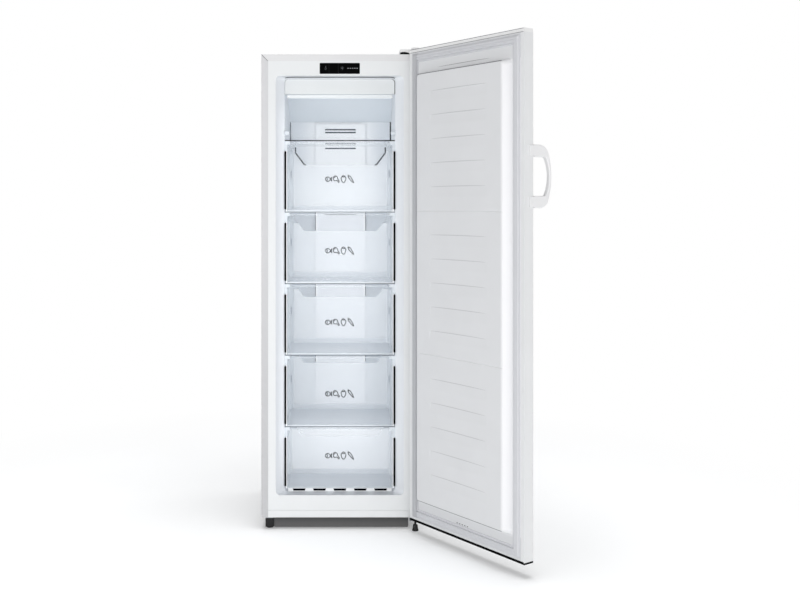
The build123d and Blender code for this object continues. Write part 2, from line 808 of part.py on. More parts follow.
export_step(fan_cover.part, "parts/fan_cover.step")

# Evaporator: two columns of tubes through a stack of thin fins, behind the cover.
evaporator_half_width = 150.0
evaporator_height = 270.0
evaporator_drop = 61.0  # below the fan cover's foot
evaporator_depth = 30.0
fin_count = 22
fin_thickness = 0.8
tube_rows = 6
tube_columns = (8.0, 22.0)  # behind the fins' front edge
tube_radius = 4.0
tube_overhang = 8.0
evaporator_top = fan_cover_foot - evaporator_drop
evaporator_bottom = evaporator_top - evaporator_height
with BuildPart() as evaporator:
    fin_front = front + cover_behind + cover_wall + side_gap
    fin_middle = (evaporator_bottom + evaporator_top) / 2
    fin_pitch = 2 * evaporator_half_width / (fin_count - 1)
    with Locations((0, fin_front + evaporator_depth / 2, fin_middle)):
        with GridLocations(fin_pitch, 1, fin_count, 1):
            Box(fin_thickness, evaporator_depth, evaporator_height)
    row_pitch = evaporator_height / tube_rows
    tube_places = [
        (0, fin_front + column, evaporator_bottom + row_pitch * (row + 0.5))
        for column in tube_columns
        for row in range(tube_rows)
    ]
    with Locations(tube_places):
        Cylinder(tube_radius, 2 * (evaporator_half_width + tube_overhang), rotation=(0, 90, 0))
evaporator.part.label = "evaporator"
export_step(evaporator.part, "parts/evaporator.step")

# Defrost heater: a bent sheathed rod under the evaporator, touching its lowest fins' edges.
heater_radius = 3.2
heater_half_width = 140.0
heater_drop = 22.0
with BuildPart() as defrost_heater:
    heater_y = fin_front + evaporator_depth / 2
    heater_top = evaporator_bottom - heater_radius - side_gap
    heater_points = [
        (-heater_half_width, heater_y, heater_top),
        (heater_half_width, heater_y, heater_top),
        (heater_half_width, heater_y, heater_top - heater_drop),
        (-heater_half_width, heater_y, heater_top - heater_drop),
    ]
    with BuildLine() as heater_line:
        FilletPolyline(*heater_points, radius=heater_drop * 0.45)
    with BuildSketch(Plane(heater_points[0], z_dir=(1, 0, 0))):
        Circle(heater_radius)
    sweep(path=heater_line.wires()[0])
defrost_heater.part.label = "defrost_heater"
export_step(defrost_heater.part, "parts/defrost_heater.step")

# Fan motor on the liner's rear wall: can, shaft and three arms with fixing pads.
motor_radius = 20.0
shaft_radius = 2.0
fan_depth = 12.0
motor_front = fan_behind + fan_depth + 3.0
with BuildPart() as fan_motor:
    with BuildSketch(upright(front + cavity_end)):
        with Locations((0, fan_height)):
            Circle(motor_radius)
    extrude(amount=cavity_end - motor_front)
    with BuildSketch(upright(front + cavity_end)):
        with Locations((0, fan_height)):
            with PolarLocations(motor_radius + 12, 3, start_angle=90):
                Rectangle(34, 9)
    extrude(amount=5)
    with BuildSketch(upright(front + motor_front)):
        with Locations((0, fan_height)):
            Circle(shaft_radius)
    extrude(amount=fan_depth + 2)
fan_motor.part.label = "fan_motor"
export_step(fan_motor.part, "parts/fan_motor.step")

# Fan: hub with pitched blades, turning on the motor's shaft.
blade_root = fan_hub_radius - 2.0
with BuildPart() as evaporator_fan:
    with BuildSketch(upright(front + fan_behind + fan_depth)):
        with Locations((0, fan_height)):
            Circle(fan_hub_radius)
            Circle(shaft_radius + running_clearance, mode=Mode.SUBTRACT)
    extrude(amount=fan_depth)
    for blade in range(fan_blade_count):
        turn = blade * 360 / fan_blade_count
        across = Plane(
            (0, front + fan_behind + fan_depth / 2, fan_height),
            x_dir=(0, 1, 0),
            z_dir=(1, 0, 0),
        ).rotated((0, turn, 0))
        with BuildSketch(across.offset(blade_root)):
            Rectangle(1.6, 17, rotation=52)
        with BuildSketch(across.offset(fan_radius)):
            Rectangle(1.4, 30, rotation=68)
        loft()
evaporator_fan.part.label = "evaporator_fan"
export_step(evaporator_fan.part, "parts/evaporator_fan.step")

# ---------------------------------------------------------------- flap of the top compartment

flap_y = front + flap_pivot_behind
# Two bosses on the cavity's side walls, bored for the flap's pins.
with BuildPart() as flap_pivots:
    for side in (-1, 1):
        with BuildSketch(Plane.YZ.offset(side * cavity_half_width)):
            with Locations((flap_y, flap_pivot_height)):
                Circle(flap_boss_radius)
                Circle(flap_pin_radius + running_clearance, mode=Mode.SUBTRACT)
        extrude(amount=-side * flap_boss_length)
flap_pivots.part.label = "flap_pivots"
export_step(flap_pivots.part, "parts/flap_pivots.step")

# Clear flap: necked between the bosses, with two ears, pins and a grip lip along the top.
ear_length = 14.0
flap_pin_length = 11.0
with BuildPart() as freezer_flap:
    panel_y = front + flap_panel_behind
    with BuildSketch(upright(panel_y)):
        neck_shoulder = flap_neck_top - (flap_half_width - flap_neck_half_width)
        with BuildLine():
            Polyline(
                (-flap_neck_half_width, flap_bottom),
                (flap_neck_half_width, flap_bottom),
                (flap_neck_half_width, neck_shoulder),
                (flap_half_width, flap_neck_top),
                (flap_half_width, flap_top),
                (-flap_half_width, flap_top),
                (-flap_half_width, flap_neck_top),
                (-flap_neck_half_width, neck_shoulder),
                close=True,
            )
        make_face()
    extrude(amount=-flap_thickness)
    with BuildSketch(Plane.YZ):
        with BuildLine():
            Polyline(
                (panel_y, flap_top),
                (panel_y - flap_lip_reach, flap_top),
                (panel_y - flap_lip_reach, flap_top - flap_lip_height),
                (panel_y - flap_lip_reach + flap_thickness, flap_top - flap_lip_height),
                (panel_y - flap_lip_reach + flap_thickness, flap_top - flap_thickness),
                (panel_y, flap_top - flap_thickness),
                close=True,
            )
        make_face()
    extrude(amount=flap_half_width, both=True)
    for side in (-1, 1):
        with BuildSketch(Plane.YZ.offset(side * flap_neck_half_width)):
            with Locations(((flap_y + panel_y) / 2, flap_pivot_height)):
                SlotOverall(ear_length, flap_boss_radius + 2)
        extrude(amount=-side * flap_thickness)
        with BuildSketch(Plane.YZ.offset(side * flap_neck_half_width)):
            with Locations((flap_y, flap_pivot_height)):
                Circle(flap_pin_radius)
        extrude(amount=side * flap_pin_length)
freezer_flap.part.label = "freezer_flap"
export_step(freezer_flap.part, "parts/freezer_flap.step")

# ---------------------------------------------------------------- drawers

# Five clear drawers, each one moulding: box, wider front that narrows under the rails, a lip to
# pull behind its top edge, and a low notch in the rear wall.
drawer_floors = [line + shelf_thickness / 2 + side_gap for line in shelf_lines[1:]]
drawer_floors.append(mouth_bottom + floor_rail_height + side_gap)
drawer_heads = [line - shelf_thickness / 2 for line in shelf_lines]
drawer_rears = [drawer_rear] * (shelf_count - 1) + [bottom_drawer_rear]
for number, floor in enumerate(drawer_floors, start=1):
    head = drawer_heads[number - 1]
    box_rear = front + drawer_rears[number - 1]
    box_front = front + drawer_front
    rim = head - drawer_rim_drop
    front_step = head - front_step_drop
    front_top = head - drawer_head_room
    with BuildPart() as drawer:
        with BuildSketch(Plane.XY.offset(floor)):
            with Locations((0, (box_front + box_rear) / 2)):
                RectangleRounded(2 * drawer_half_width, box_rear - box_front, drawer_corner)
        extrude(amount=rim - floor)
        with BuildSketch(Plane.XY.offset(floor + drawer_wall)):
            with Locations((0, (box_front + box_rear) / 2)):
                RectangleRounded(
                    2 * (drawer_half_width - drawer_wall),
                    box_rear - box_front - 2 * drawer_wall,
                    drawer_corner - drawer_wall,
                )
        extrude(amount=rim - floor, mode=Mode.SUBTRACT)
        with BuildSketch(upright(box_rear)):
            with BuildLine():
                Polyline(
                    (-notch_half_width, rim),
                    (-notch_half_width, head - notch_shoulder_drop),
                    (-notch_half_width + notch_slope, head - notch_drop),
                    (notch_half_width - notch_slope, head - notch_drop),
                    (notch_half_width, head - notch_shoulder_drop),
                    (notch_half_width, rim),
                    close=True,
                )
            make_face()
        extrude(amount=drawer_corner, mode=Mode.SUBTRACT)
        with BuildSketch(upright(box_front)):
            with Locations((0, (floor + front_step) / 2)):
                Rectangle(2 * drawer_front_half_width, front_step - floor)
            with Locations((0, (front_step + front_top) / 2)):
                Rectangle(2 * grip_half_width, front_top - front_step)
        extrude(amount=-drawer_wall)
        with BuildSketch(upright(box_front)):
            with Locations((0, floor + drawer_foot_height / 2)):
                Rectangle(2 * drawer_front_half_width, drawer_foot_height)
        extrude(amount=drawer_foot_reach)
        with BuildSketch(Plane.YZ):
            with BuildLine():
                Polyline(
                    (box_front, front_top),
                    (box_front + grip_reach, front_top),
                    (box_front + grip_reach, front_top - grip_lip),
                    (box_front + grip_reach - drawer_wall, front_top - grip_lip),
                    (box_front + grip_reach - drawer_wall, front_top - drawer_wall),
                    (box_front, front_top - drawer_wall),
                    close=True,
                )
            make_face()
        extrude(amount=grip_half_width, both=True)
    drawer.part.label = f"drawer_{number}"
    export_step(drawer.part, f"parts/drawer_{number}.step")

# ---------------------------------------------------------------- compressor bay

mount_height = 15.0
mount_radius = 11.0
compressor_radius = 76.0
compressor_plate = 3.0
compressor_body = 118.0
compressor_dome = 26.0
compressor_y = front + compressor_behind
mount_top = base_top + mount_height
plate_top = mount_top + compressor_plate

# Four rubber mounts between the base and the compressor's plate.
with BuildPart() as compressor_mounts:
    with BuildSketch(Plane.XY.offset(base_top)):
        with Locations((compressor_x, compressor_y)):
            with GridLocations(2 * mount_spread_x, 2 * mount_spread_y, 2, 2):
                Circle(mount_radius)
    extrude(amount=mount_height)
    with BuildSketch(Plane.XY.offset(base_top)):
        with Locations((compressor_x, compressor_y)):
            with GridLocations(2 * mount_spread_x, 2 * mount_spread_y, 2, 2):
                Circle(mount_stud_radius)
    extrude(amount=-base_thickness)
compressor_mounts.part.label = "compressor_mounts"
export_step(compressor_mounts.part, "parts/compressor_mounts.step")

# Compressor: welded can with domed ends on a plate, with its start-relay box at the side.
seam_ring_radius = compressor_radius + 4.0
relay_size = (34.0, 46.0, 58.0)
with BuildPart() as compressor:
    with BuildSketch(Plane.XY.offset(mount_top)):
        with Locations((compressor_x, compressor_y)):
            RectangleRounded(2 * mount_spread_x + 24, 2 * mount_spread_y + 24, 12)
    extrude(amount=compressor_plate)
    with BuildSketch(Plane.XZ.offset(-compressor_y)) as can:
        can_height = compressor_body + compressor_dome
        with Locations((compressor_x + compressor_radius / 2, plate_top + can_height / 2)):
            Rectangle(compressor_radius, can_height)
        fillet(can.vertices().sort_by(Axis.X)[2:4], compressor_dome)
    can_axis = Axis((compressor_x, compressor_y, 0), (0, 0, 1))
    revolve(axis=can_axis)
    with BuildSketch(Plane.XY.offset(plate_top + compressor_dome + compressor_body * 0.45)):
        with Locations((compressor_x, compressor_y)):
            Circle(seam_ring_radius)
    extrude(amount=5)
    relay_x = compressor_x + compressor_radius + relay_size[0] / 2 - 8
    with Locations((relay_x, compressor_y, plate_top + 62)):
        Box(*relay_size)
compressor.part.label = "compressor"
export_step(compressor.part, "parts/compressor.step")

# Evaporating tray on top of the compressor, where the defrost water dries off.
tray_size = (190.0, 140.0)
tray_height = 30.0
tray_wall = 2.0
tray_bottom = plate_top + compressor_dome + compressor_body
with BuildPart() as evaporating_tray:
    with BuildSketch(Plane.XY.offset(tray_bottom)):
        with Locations((compressor_x, compressor_y)):
            RectangleRounded(tray_size[0], tray_size[1], 10)
    extrude(amount=tray_height)
    with BuildSketch(Plane.XY.offset(tray_bottom + tray_wall)):
        with Locations((compressor_x, compressor_y)):
            RectangleRounded(tray_size[0] - 2 * tray_wall, tray_size[1] - 2 * tray_wall, 8)
    extrude(amount=tray_height, mode=Mode.SUBTRACT)
evaporating_tray.part.label = "evaporating_tray"
export_step(evaporating_tray.part, "parts/evaporating_tray.step")

# Filter drier and the refrigerant pipes of the bay, soldered into one run of copper.
pipe_radius = 3.0
drier_radius = 9.0
pipe_rise = 44.0  # above the compressor's plate
pipe_from = 64.0  # right of the compressor's middle, inside its can
pipe_turn = 150.0
pipe_drop = 260.0
pipe_rear_y = compressor_y + 38.0
pipe_front_y = compressor_y - 46.0
pipe_bend = 20.0
pipe_head_room = 8.0
drier_length = 84.0
drier_rounding = 2.0
pipe_height = plate_top + pipe_rise
drier_x = compressor_x + pipe_drop
pipe_end = bay_top - shield - pipe_head_room
pipe_points = [
    (compressor_x + pipe_from, pipe_rear_y, pipe_height),
    (compressor_x + pipe_turn, pipe_rear_y, pipe_height),
    (compressor_x + pipe_turn, pipe_front_y, pipe_height),
    (drier_x, pipe_front_y, pipe_height),
    (drier_x, pipe_front_y, pipe_end),
]
with BuildPart() as refrigerant_pipes:
    with BuildLine() as pipe_line:
        FilletPolyline(*pipe_points, radius=pipe_bend)
    with BuildSketch(Plane(pipe_points[0], z_dir=(1, 0, 0))):
        Circle(pipe_radius)
    sweep(path=pipe_line.wires()[0])
    with BuildSketch(Plane.XY.offset((pipe_height + pipe_bend + pipe_end - drier_length) / 2)):
        with Locations((drier_x, pipe_front_y)):
            Circle(drier_radius)
    drier = extrude(amount=drier_length)
    drier_rims = drier.edges().filter_by(GeomType.CIRCLE).sort_by(SortBy.RADIUS)[-2:]
    fillet(drier_rims, min(drier_rounding, drier_radius / 3))
    add(compressor.part, mode=Mode.SUBTRACT)
refrigerant_pipes.part.label = "refrigerant_pipes"
export_step(refrigerant_pipes.part, "parts/refrigerant_pipes.step")

# Louvred cover over the compressor bay, in line with the rear wall.
cover_plate = 1.5
louvre_size = (56.0, 5.0)
louvre_pitch_x = 76.0
louvre_pitch = 14.0
louvre_columns = 5
louvre_rows = 9
louvre_middle_x = -40.0
louvre_middle = 195.0
gland_inset = 87.0  # from the cabinet's right side
gland_height = 90.0
gland_radius = 9.0
with BuildPart() as rear_cover:
    rear_cover_bottom = base_top + 1.0
    rear_cover_top = bay_top - seam_gap
    with BuildSketch(upright(rear - sheet + cover_plate)):
        with Locations((0, (rear_cover_bottom + rear_cover_top) / 2)):
            Rectangle(cabinet_width - 2, rear_cover_top - rear_cover_bottom)
        with Locations((louvre_middle_x, louvre_middle)):
            with GridLocations(louvre_pitch_x, louvre_pitch, louvre_columns, louvre_rows):
                SlotOverall(*louvre_size, mode=Mode.SUBTRACT)
        with Locations((half_width - gland_inset, gland_height)):
            Circle(gland_radius + bond_gap, mode=Mode.SUBTRACT)
    extrude(amount=cover_plate)
rear_cover.part.label = "rear_cover"
export_step(rear_cover.part, "parts/rear_cover.step")

# Cable gland in that cover, where the mains lead would pass.
gland_flange = 13.0
gland_bore = 3.6
gland_length = 12.0
gland_rim = 4.0
with BuildPart() as mains_gland:
    cover_outer = rear - sheet + cover_plate
    with BuildSketch(upright(cover_outer)):
        with Locations((half_width - gland_inset, gland_height)):
            Circle(gland_flange)
    extrude(amount=-gland_rim)
    with BuildSketch(upright(cover_outer)):
        with Locations((half_width - gland_inset, gland_height)):
            Circle(gland_radius)
    extrude(amount=gland_length)
    with BuildSketch(upright(cover_outer + gland_rim)):
        with Locations((half_width - gland_inset, gland_height)):
            Circle(gland_bore)
    extrude(amount=gland_rim + gland_length, mode=Mode.SUBTRACT)
mains_gland.part.label = "mains_gland"
export_step(mains_gland.part, "parts/mains_gland.step")

# Two spacers high on the back that keep the cabinet off the wall.
spacer_depth = 17.0
spacer_width = 36.0
spacer_height = 60.0
spacer_inset = 72.0
spacer_drop = 77.0
spacer_x = half_width - spacer_inset
spacer_middle = cabinet_top - spacer_drop
with BuildPart() as wall_spacers:
    with BuildSketch(upright(rear)):
        with Locations((-spacer_x, spacer_middle), (spacer_x, spacer_middle)):
            RectangleRounded(spacer_width, spacer_height, 6)
    extrude(amount=-spacer_depth)
    with BuildSketch(upright(rear)):
        with Locations((-spacer_x, spacer_middle), (spacer_x, spacer_middle)):
            RectangleRounded(spacer_width - 6, spacer_height - 6, 4)
    extrude(amount=-(spacer_depth - 3), mode=Mode.SUBTRACT)
wall_spacers.part.label = "wall_spacers"
export_step(wall_spacers.part, "parts/wall_spacers.step")

# ---------------------------------------------------------------- feet and rollers

# Black block under the left front corner, which guides that corner's foot.
with BuildPart() as foot_block:
    with BuildSketch(Plane.XY.offset(foot_block_bottom)):
        with Locations((left_foot_x, front + left_foot_behind)):
            RectangleRounded(foot_block_width, foot_block_depth, 2)
            Circle(foot_stud_radius + running_clearance, mode=Mode.SUBTRACT)
    extrude(amount=cabinet_bottom - hinge_plate - foot_block_bottom)
foot_block.part.label = "foot_block"
export_step(foot_block.part, "parts/foot_block.step")

# Screw-in levelling feet: the left one in the base, the right one in the lower hinge bracket.
right_foot_x = half_width - right_foot_inset
foot_places = {
    "levelling_foot_left": (left_foot_x, front + left_foot_behind, base_top - side_gap, 0),
    "levelling_foot_right": (right_foot_x, front - right_foot_ahead, cabinet_bottom, foot_height),
}
for name, (foot_x, foot_y, stud_top, cone_top) in foot_places.items():
    with BuildPart() as foot:
        with BuildSketch(Plane.XY):
            with Locations((foot_x, foot_y)):
                Circle(foot_radius)
        extrude(amount=foot_rim)
        if cone_top:
            with BuildSketch(Plane.XY.offset(foot_rim)):
                with Locations((foot_x, foot_y)):
                    Circle(foot_radius - 1)
            with BuildSketch(Plane.XY.offset(cone_top)):
                with Locations((foot_x, foot_y)):
                    Circle(foot_top_radius)
            loft()
        with BuildSketch(Plane.XY):
            with Locations((foot_x, foot_y)):
                Circle(foot_stud_radius)
        extrude(amount=stud_top)
    foot.part.label = name
    export_step(foot.part, f"parts/{name}.step")

# Rear rollers and their axles.
for name, side in (("rear_roller_left", -1), ("rear_roller_right", 1)):
    with BuildPart() as roller:
        with BuildSketch(Plane.YZ.offset(side * roller_x - roller_width / 2)):
            with Locations((front + roller_behind, roller_radius)):
                Circle(roller_radius)
                Circle(axle_radius + running_clearance, mode=Mode.SUBTRACT)
        extrude(amount=roller_width)
    roller.part.label = name
    export_step(roller.part, f"parts/{name}.step")

axle_head = 2.0
axle_head_radius = 6.0
with BuildPart() as roller_axles:
    axle_reach = roller_width / 2 + ear_gap + ear_thickness
    for side in (-1, 1):
        with BuildSketch(Plane.YZ.offset(side * roller_x)):
            with Locations((front + roller_behind, roller_radius)):
                Circle(axle_radius)
        extrude(amount=axle_reach + axle_head, both=True)
        for end in (-1, 1):
            with BuildSketch(Plane.YZ.offset(side * roller_x + end * axle_reach)):
                with Locations((front + roller_behind, roller_radius)):
                    Circle(axle_head_radius)
            extrude(amount=end * axle_head)
roller_axles.part.label = "roller_axles"
export_step(roller_axles.part, "parts/roller_axles.step")

# ---------------------------------------------------------------- hinges

arm_bottom = door_top + 1.5
arm_left = hinge_x - 12.0
arm_right = half_width - 0.5
arm_reach = hinge_ahead + 10.0
pin_depth = 20.0

# Upper hinge: black steel plate on the cabinet's top, stepped up over the door, with its pin.
with BuildPart() as upper_hinge_bracket:
    with BuildSketch(Plane.XY.offset(cabinet_top)):
        plate_middle = ((upper_plate_left + arm_right) / 2, front + upper_plate_depth / 2)
        with Locations(plate_middle):
            Rectangle(arm_right - upper_plate_left, upper_plate_depth)
    extrude(amount=hinge_plate)
    with BuildSketch(Plane.XY.offset(cabinet_top)):
        with Locations(((arm_left + arm_right) / 2, front + hinge_plate / 2)):
            Rectangle(arm_right - arm_left, hinge_plate)
    extrude(amount=arm_bottom + hinge_plate - cabinet_top)
    with BuildSketch(Plane.XY.offset(arm_bottom)):
        arm_length = arm_reach + hinge_plate
        with Locations(((arm_left + arm_right) / 2, front + hinge_plate - arm_length / 2)):
            Rectangle(arm_right - arm_left, arm_length)
    extrude(amount=hinge_plate)
    with BuildSketch(Plane.XY.offset(arm_bottom)):
        with Locations((hinge_x, hinge_y)):
            Circle(hinge_pin_radius)
    extrude(amount=-pin_depth)
    with Locations([(x, front + behind, cabinet_top) for x, behind in upper_screws]):
        Cylinder(screw_radius + screw_play, 4 * hinge_plate, mode=Mode.SUBTRACT)
upper_hinge_bracket.part.label = "upper_hinge_bracket"
export_step(upper_hinge_bracket.part, "parts/upper_hinge_bracket.step")

hinge_cover_rise = 7.5  # above the door
hinge_cover_top = door_top + hinge_cover_rise
hinge_cover_wall = 2.0
hinge_cover_margin = 2.0
hinge_cover_lift = 0.2
cover_left = upper_plate_left - 1.0
cover_back = front + upper_plate_depth + hinge_cover_margin + hinge_cover_wall
arm_cover_left = arm_left - 4.0
arm_cover_front = front - arm_reach - 4.0

# White cap that clips over the plate and its arm.
with BuildPart() as upper_hinge_cover:
    cap_bottom = cabinet_top + hinge_plate + hinge_cover_lift
    nose_bottom = arm_bottom + hinge_cover_lift
    with BuildSketch(Plane.XY.offset(cap_bottom)):
        with Locations(((cover_left + half_width) / 2, (front + cover_back) / 2)):
            Rectangle(half_width - cover_left, cover_back - front)
    extrude(amount=hinge_cover_top - cap_bottom)
    with BuildSketch(Plane.XY.offset(nose_bottom)):
        with Locations(((arm_cover_left + half_width) / 2, (arm_cover_front + front) / 2)):
            Rectangle(half_width - arm_cover_left, front - arm_cover_front)
    extrude(amount=hinge_cover_top - nose_bottom)
    upright_edges = upper_hinge_cover.edges().filter_by(Axis.Z)
    fillet(upright_edges.sort_by(Axis.X)[0:2], 6)
    fillet(upper_hinge_cover.edges().filter_by(Axis.Z).sort_by(Axis.Y)[0:2], 6)
    fillet(upper_hinge_cover.faces().sort_by(Axis.Z)[-1].outer_wire().edges(), 1.6)
    with BuildSketch(Plane.XY.offset(cap_bottom)):
        hollow_left = cover_left + hinge_cover_wall
        hollow_right = half_width - hinge_cover_wall + 1.7
        with Locations(((hollow_left + hollow_right) / 2, (front + cover_back) / 2)):
            Rectangle(hollow_right - hollow_left, cover_back - front - 2 * hinge_cover_wall)
    extrude(amount=hinge_cover_top - hinge_cover_wall - cap_bottom, mode=Mode.SUBTRACT)
    with BuildSketch(Plane.XY.offset(cap_bottom)):
        arm_hollow_left = arm_left - side_gap
        arm_hollow_right = arm_right + side_gap
        arm_hollow_front = front - arm_reach - side_gap
        hollow_back = front + 2 * hinge_plate
        with Locations(
            ((arm_hollow_left + arm_hollow_right) / 2, (arm_hollow_front + hollow_back) / 2)
        ):
            Rectangle(arm_hollow_right - arm_hollow_left, hollow_back - arm_hollow_front)
    extrude(amount=arm_bottom + hinge_plate + side_gap - cap_bottom, mode=Mode.SUBTRACT)
upper_hinge_cover.part.label = "upper_hinge_cover"
export_step(upper_hinge_cover.part, "parts/upper_hinge_cover.step")

# Lower hinge: black steel plate under the cabinet with the door's pin; the right foot screws into it.
with BuildPart() as lower_hinge_bracket:
    with BuildSketch(Plane.XY.offset(cabinet_bottom - hinge_plate)):
        bracket_length = lower_bracket_depth + lower_bracket_reach
        bracket_middle = front + (lower_bracket_depth - lower_bracket_reach) / 2
        with Locations(((lower_bracket_left + arm_right) / 2, bracket_middle)):
            Rectangle(arm_right - lower_bracket_left, bracket_length)
    extrude(amount=hinge_plate)
    with BuildSketch(Plane.XY.offset(cabinet_bottom)):
        with Locations((hinge_x, hinge_y)):
            Circle(hinge_pin_radius)
    extrude(amount=pin_depth - 3)
    with Locations((right_foot_x, front - right_foot_ahead, cabinet_bottom)):
        Cylinder(foot_stud_radius + running_clearance, 4 * hinge_plate, mode=Mode.SUBTRACT)
    with Locations([(x, front + behind, cabinet_bottom) for x, behind in lower_screws]):
        Cylinder(screw_radius + screw_play, 4 * hinge_plate, mode=Mode.SUBTRACT)
lower_hinge_bracket.part.label = "lower_hinge_bracket"
export_step(lower_hinge_bracket.part, "parts/lower_hinge_bracket.step")

# Screws of both hinges: pan heads and short shanks.
with BuildPart() as hinge_screws:
    upper_head = cabinet_top + hinge_plate
    with BuildSketch(Plane.XY.offset(upper_head)):
        with Locations([(x, front + behind) for x, behind in upper_screws]):
            Circle(screw_head_radius)
    extrude(amount=screw_head)
    with BuildSketch(Plane.XY.offset(upper_head)):
        with Locations([(x, front + behind) for x, behind in upper_screws]):
            Circle(screw_radius)
    extrude(amount=-(hinge_plate + sheet))
    lower_head = cabinet_bottom - hinge_plate
    with BuildSketch(Plane.XY.offset(lower_head)):
        with Locations([(x, front + behind) for x, behind in lower_screws]):
            Circle(screw_head_radius)
    extrude(amount=-screw_head)
    with BuildSketch(Plane.XY.offset(lower_head)):
        with Locations([(x, front + behind) for x, behind in lower_screws]):
            Circle(screw_radius)
    extrude(amount=hinge_plate + base_thickness)
hinge_screws.part.label = "hinge_screws"
export_step(hinge_screws.part, "parts/hinge_screws.step")

# ---------------------------------------------------------------- door, made closed


def door_outline(inset):
    """The closed door's plan drawn in by inset: round corners at the front, square at the back."""
    with BuildSketch() as outline:
        with Locations((0, door_middle)):
            Rectangle(cabinet_width - 2 * inset, door_thickness - 2 * inset)
        fillet(outline.vertices().sort_by(Axis.Y)[0:2], door_corner_radius - inset)
    return outline.sketch


def plateau_shape(inset):
    """The raised middle of the door's liner, drawn in by inset, from the liner's plate inwards."""
    with BuildPart() as raised:
        middle = (plateau_bottom + plateau_top) / 2
        base_width = plateau_width - 2 * inset
        base_height = plateau_top - plateau_bottom - 2 * inset
        with BuildSketch(upright(door_inner)):
            with Locations((0, middle)):
                RectangleRounded(base_width, base_height, plateau_radius)
        with BuildSketch(upright(door_inner + plateau_rise - inset)):
            with Locations((0, middle)):
                RectangleRounded(
                    base_width - 2 * plateau_slope,
                    base_height - 2 * plateau_slope_ends,
                    plateau_radius * 0.7,
                )
        loft()
    return raised.part


pan_bottom = door_bottom + bottom_cap_height
pan_top = door_top - top_cap_height

# Screw places of the handle, used by the pan, the foam, the handle and the screws.
screw_heights = (handle_bottom + handle_leg_height / 2, handle_top - handle_leg_height / 2)
handle_screw_y = door_outer + handle_foot_wrap * 0.55
handle_screw_places = [(-half_width, handle_screw_y, height) for height in screw_heights]

# Outer skin: one sheet bent round the front and both sides, with a flange on the inner face.
with BuildPart() as door_outer_panel:
    with BuildSketch(Plane.XY.offset(pan_bottom)):
        add(door_outline(0))
        add(door_outline(sheet), mode=Mode.SUBTRACT)
        with Locations((0, door_inner)):
            Rectangle(cabinet_width - 2 * door_flange, 4 * sheet, mode=Mode.SUBTRACT)
    extrude(amount=pan_top - pan_bottom)
    with Locations(handle_screw_places):
        Cylinder(
            handle_screw_radius + screw_play,
            6 * sheet,
            rotation=(0, 90, 0),
            mode=Mode.SUBTRACT,
        )
write_on_door(door_outer_panel, "door_outer_panel")

# Inner liner: flat edge, hollow raised middle with fifteen louvre-like ribs and two creases.
with BuildPart() as door_liner:
    liner_half_width = half_width - door_flange - side_gap
    with BuildSketch(upright(door_inner)):
        with Locations((0, (pan_bottom + pan_top) / 2)):
            Rectangle(2 * liner_half_width, pan_top - pan_bottom)
    extrude(amount=door_liner_wall)
    add(plateau_shape(0))
    add(plateau_shape(door_liner_wall), mode=Mode.SUBTRACT)
    with BuildSketch(upright(door_inner)):
        with Locations((0, (plateau_bottom + plateau_top) / 2)):
            RectangleRounded(
                plateau_width - 2 * door_liner_wall,
                plateau_top - plateau_bottom - 2 * door_liner_wall,
                plateau_radius,
            )
    extrude(amount=2 * door_liner_wall, mode=Mode.SUBTRACT)
    plateau_face = door_inner + plateau_rise
    for row in range(rib_rows):
        rib_line = rib_top - row * rib_pitch
        if row in plain_rows:
            with BuildSketch(Plane.YZ):
                with BuildLine():
                    Polyline(
                        (plateau_face, rib_line + crease_width / 2),
                        (plateau_face - crease_depth, rib_line),
                        (plateau_face, rib_line - crease_width / 2),
                        close=True,
                    )
                make_face()
            extrude(amount=half_width, both=True, mode=Mode.SUBTRACT)
        else:
            with BuildSketch(Plane.YZ):
                with BuildLine():
                    Polyline(
                        (plateau_face, rib_line),
                        (plateau_face - rib_depth, rib_line),
                        (plateau_face, rib_line - rib_height),
                        close=True,
                    )
                make_face()
            extrude(amount=rib_half_length, both=True, mode=Mode.SUBTRACT)
write_on_door(door_liner, "door_liner")

# Foam core of the door, also filling the raised middle.
with BuildPart() as door_foam:
    with BuildSketch(Plane.XY.offset(pan_bottom + bond_gap)):
        add(door_outline(sheet + bond_gap))
        with Locations((0, door_inner)):
            Rectangle(
                cabinet_width,
                2 * (door_liner_wall + bond_gap),
                mode=Mode.SUBTRACT,
            )
    extrude(amount=pan_top - pan_bottom - 2 * bond_gap)
    with BuildSketch(upright(door_inner)):
        with Locations((0, (plateau_bottom + plateau_top) / 2)):
            RectangleRounded(
                plateau_width - 2 * (door_liner_wall + bond_gap),
                plateau_top - plateau_bottom - 2 * (door_liner_wall + bond_gap),
                plateau_radius,
            )
    extrude(amount=2 * door_liner_wall)
    add(plateau_shape(door_liner_wall + bond_gap))
    for pocket in (pan_top, pan_bottom):
        with Locations((hinge_x, hinge_y, pocket)):
            Cylinder(bush_radius + side_gap, 2 * bush_length, mode=Mode.SUBTRACT)
    with Locations(handle_screw_places):
        Cylinder(
            handle_screw_radius + side_gap,
            2 * handle_screw_length + 2 * side_gap,
            rotation=(0, 90, 0),
            mode=Mode.SUBTRACT,
        )
write_on_door(door_foam, "door_foam")

cap_wall = 2.5
boss_radius = bush_radius + 2.5

# White cap along the door's top edge: a tray with a boss round the hinge bush.
with BuildPart() as door_top_cap:
    with BuildSketch(Plane.XY.offset(pan_top)):
        add(door_outline(0))
    extrude(amount=top_cap_height)
    with BuildSketch(Plane.XY.offset(pan_top)):
        add(door_outline(cap_wall))
        with Locations((hinge_x, hinge_y)):
            Circle(boss_radius, mode=Mode.SUBTRACT)
    extrude(amount=top_cap_height - cap_wall, mode=Mode.SUBTRACT)
    with Locations((hinge_x, hinge_y, door_top)):
        Cylinder(bush_radius + running_clearance, 4 * top_cap_height, mode=Mode.SUBTRACT)
write_on_door(door_top_cap, "door_top_cap")

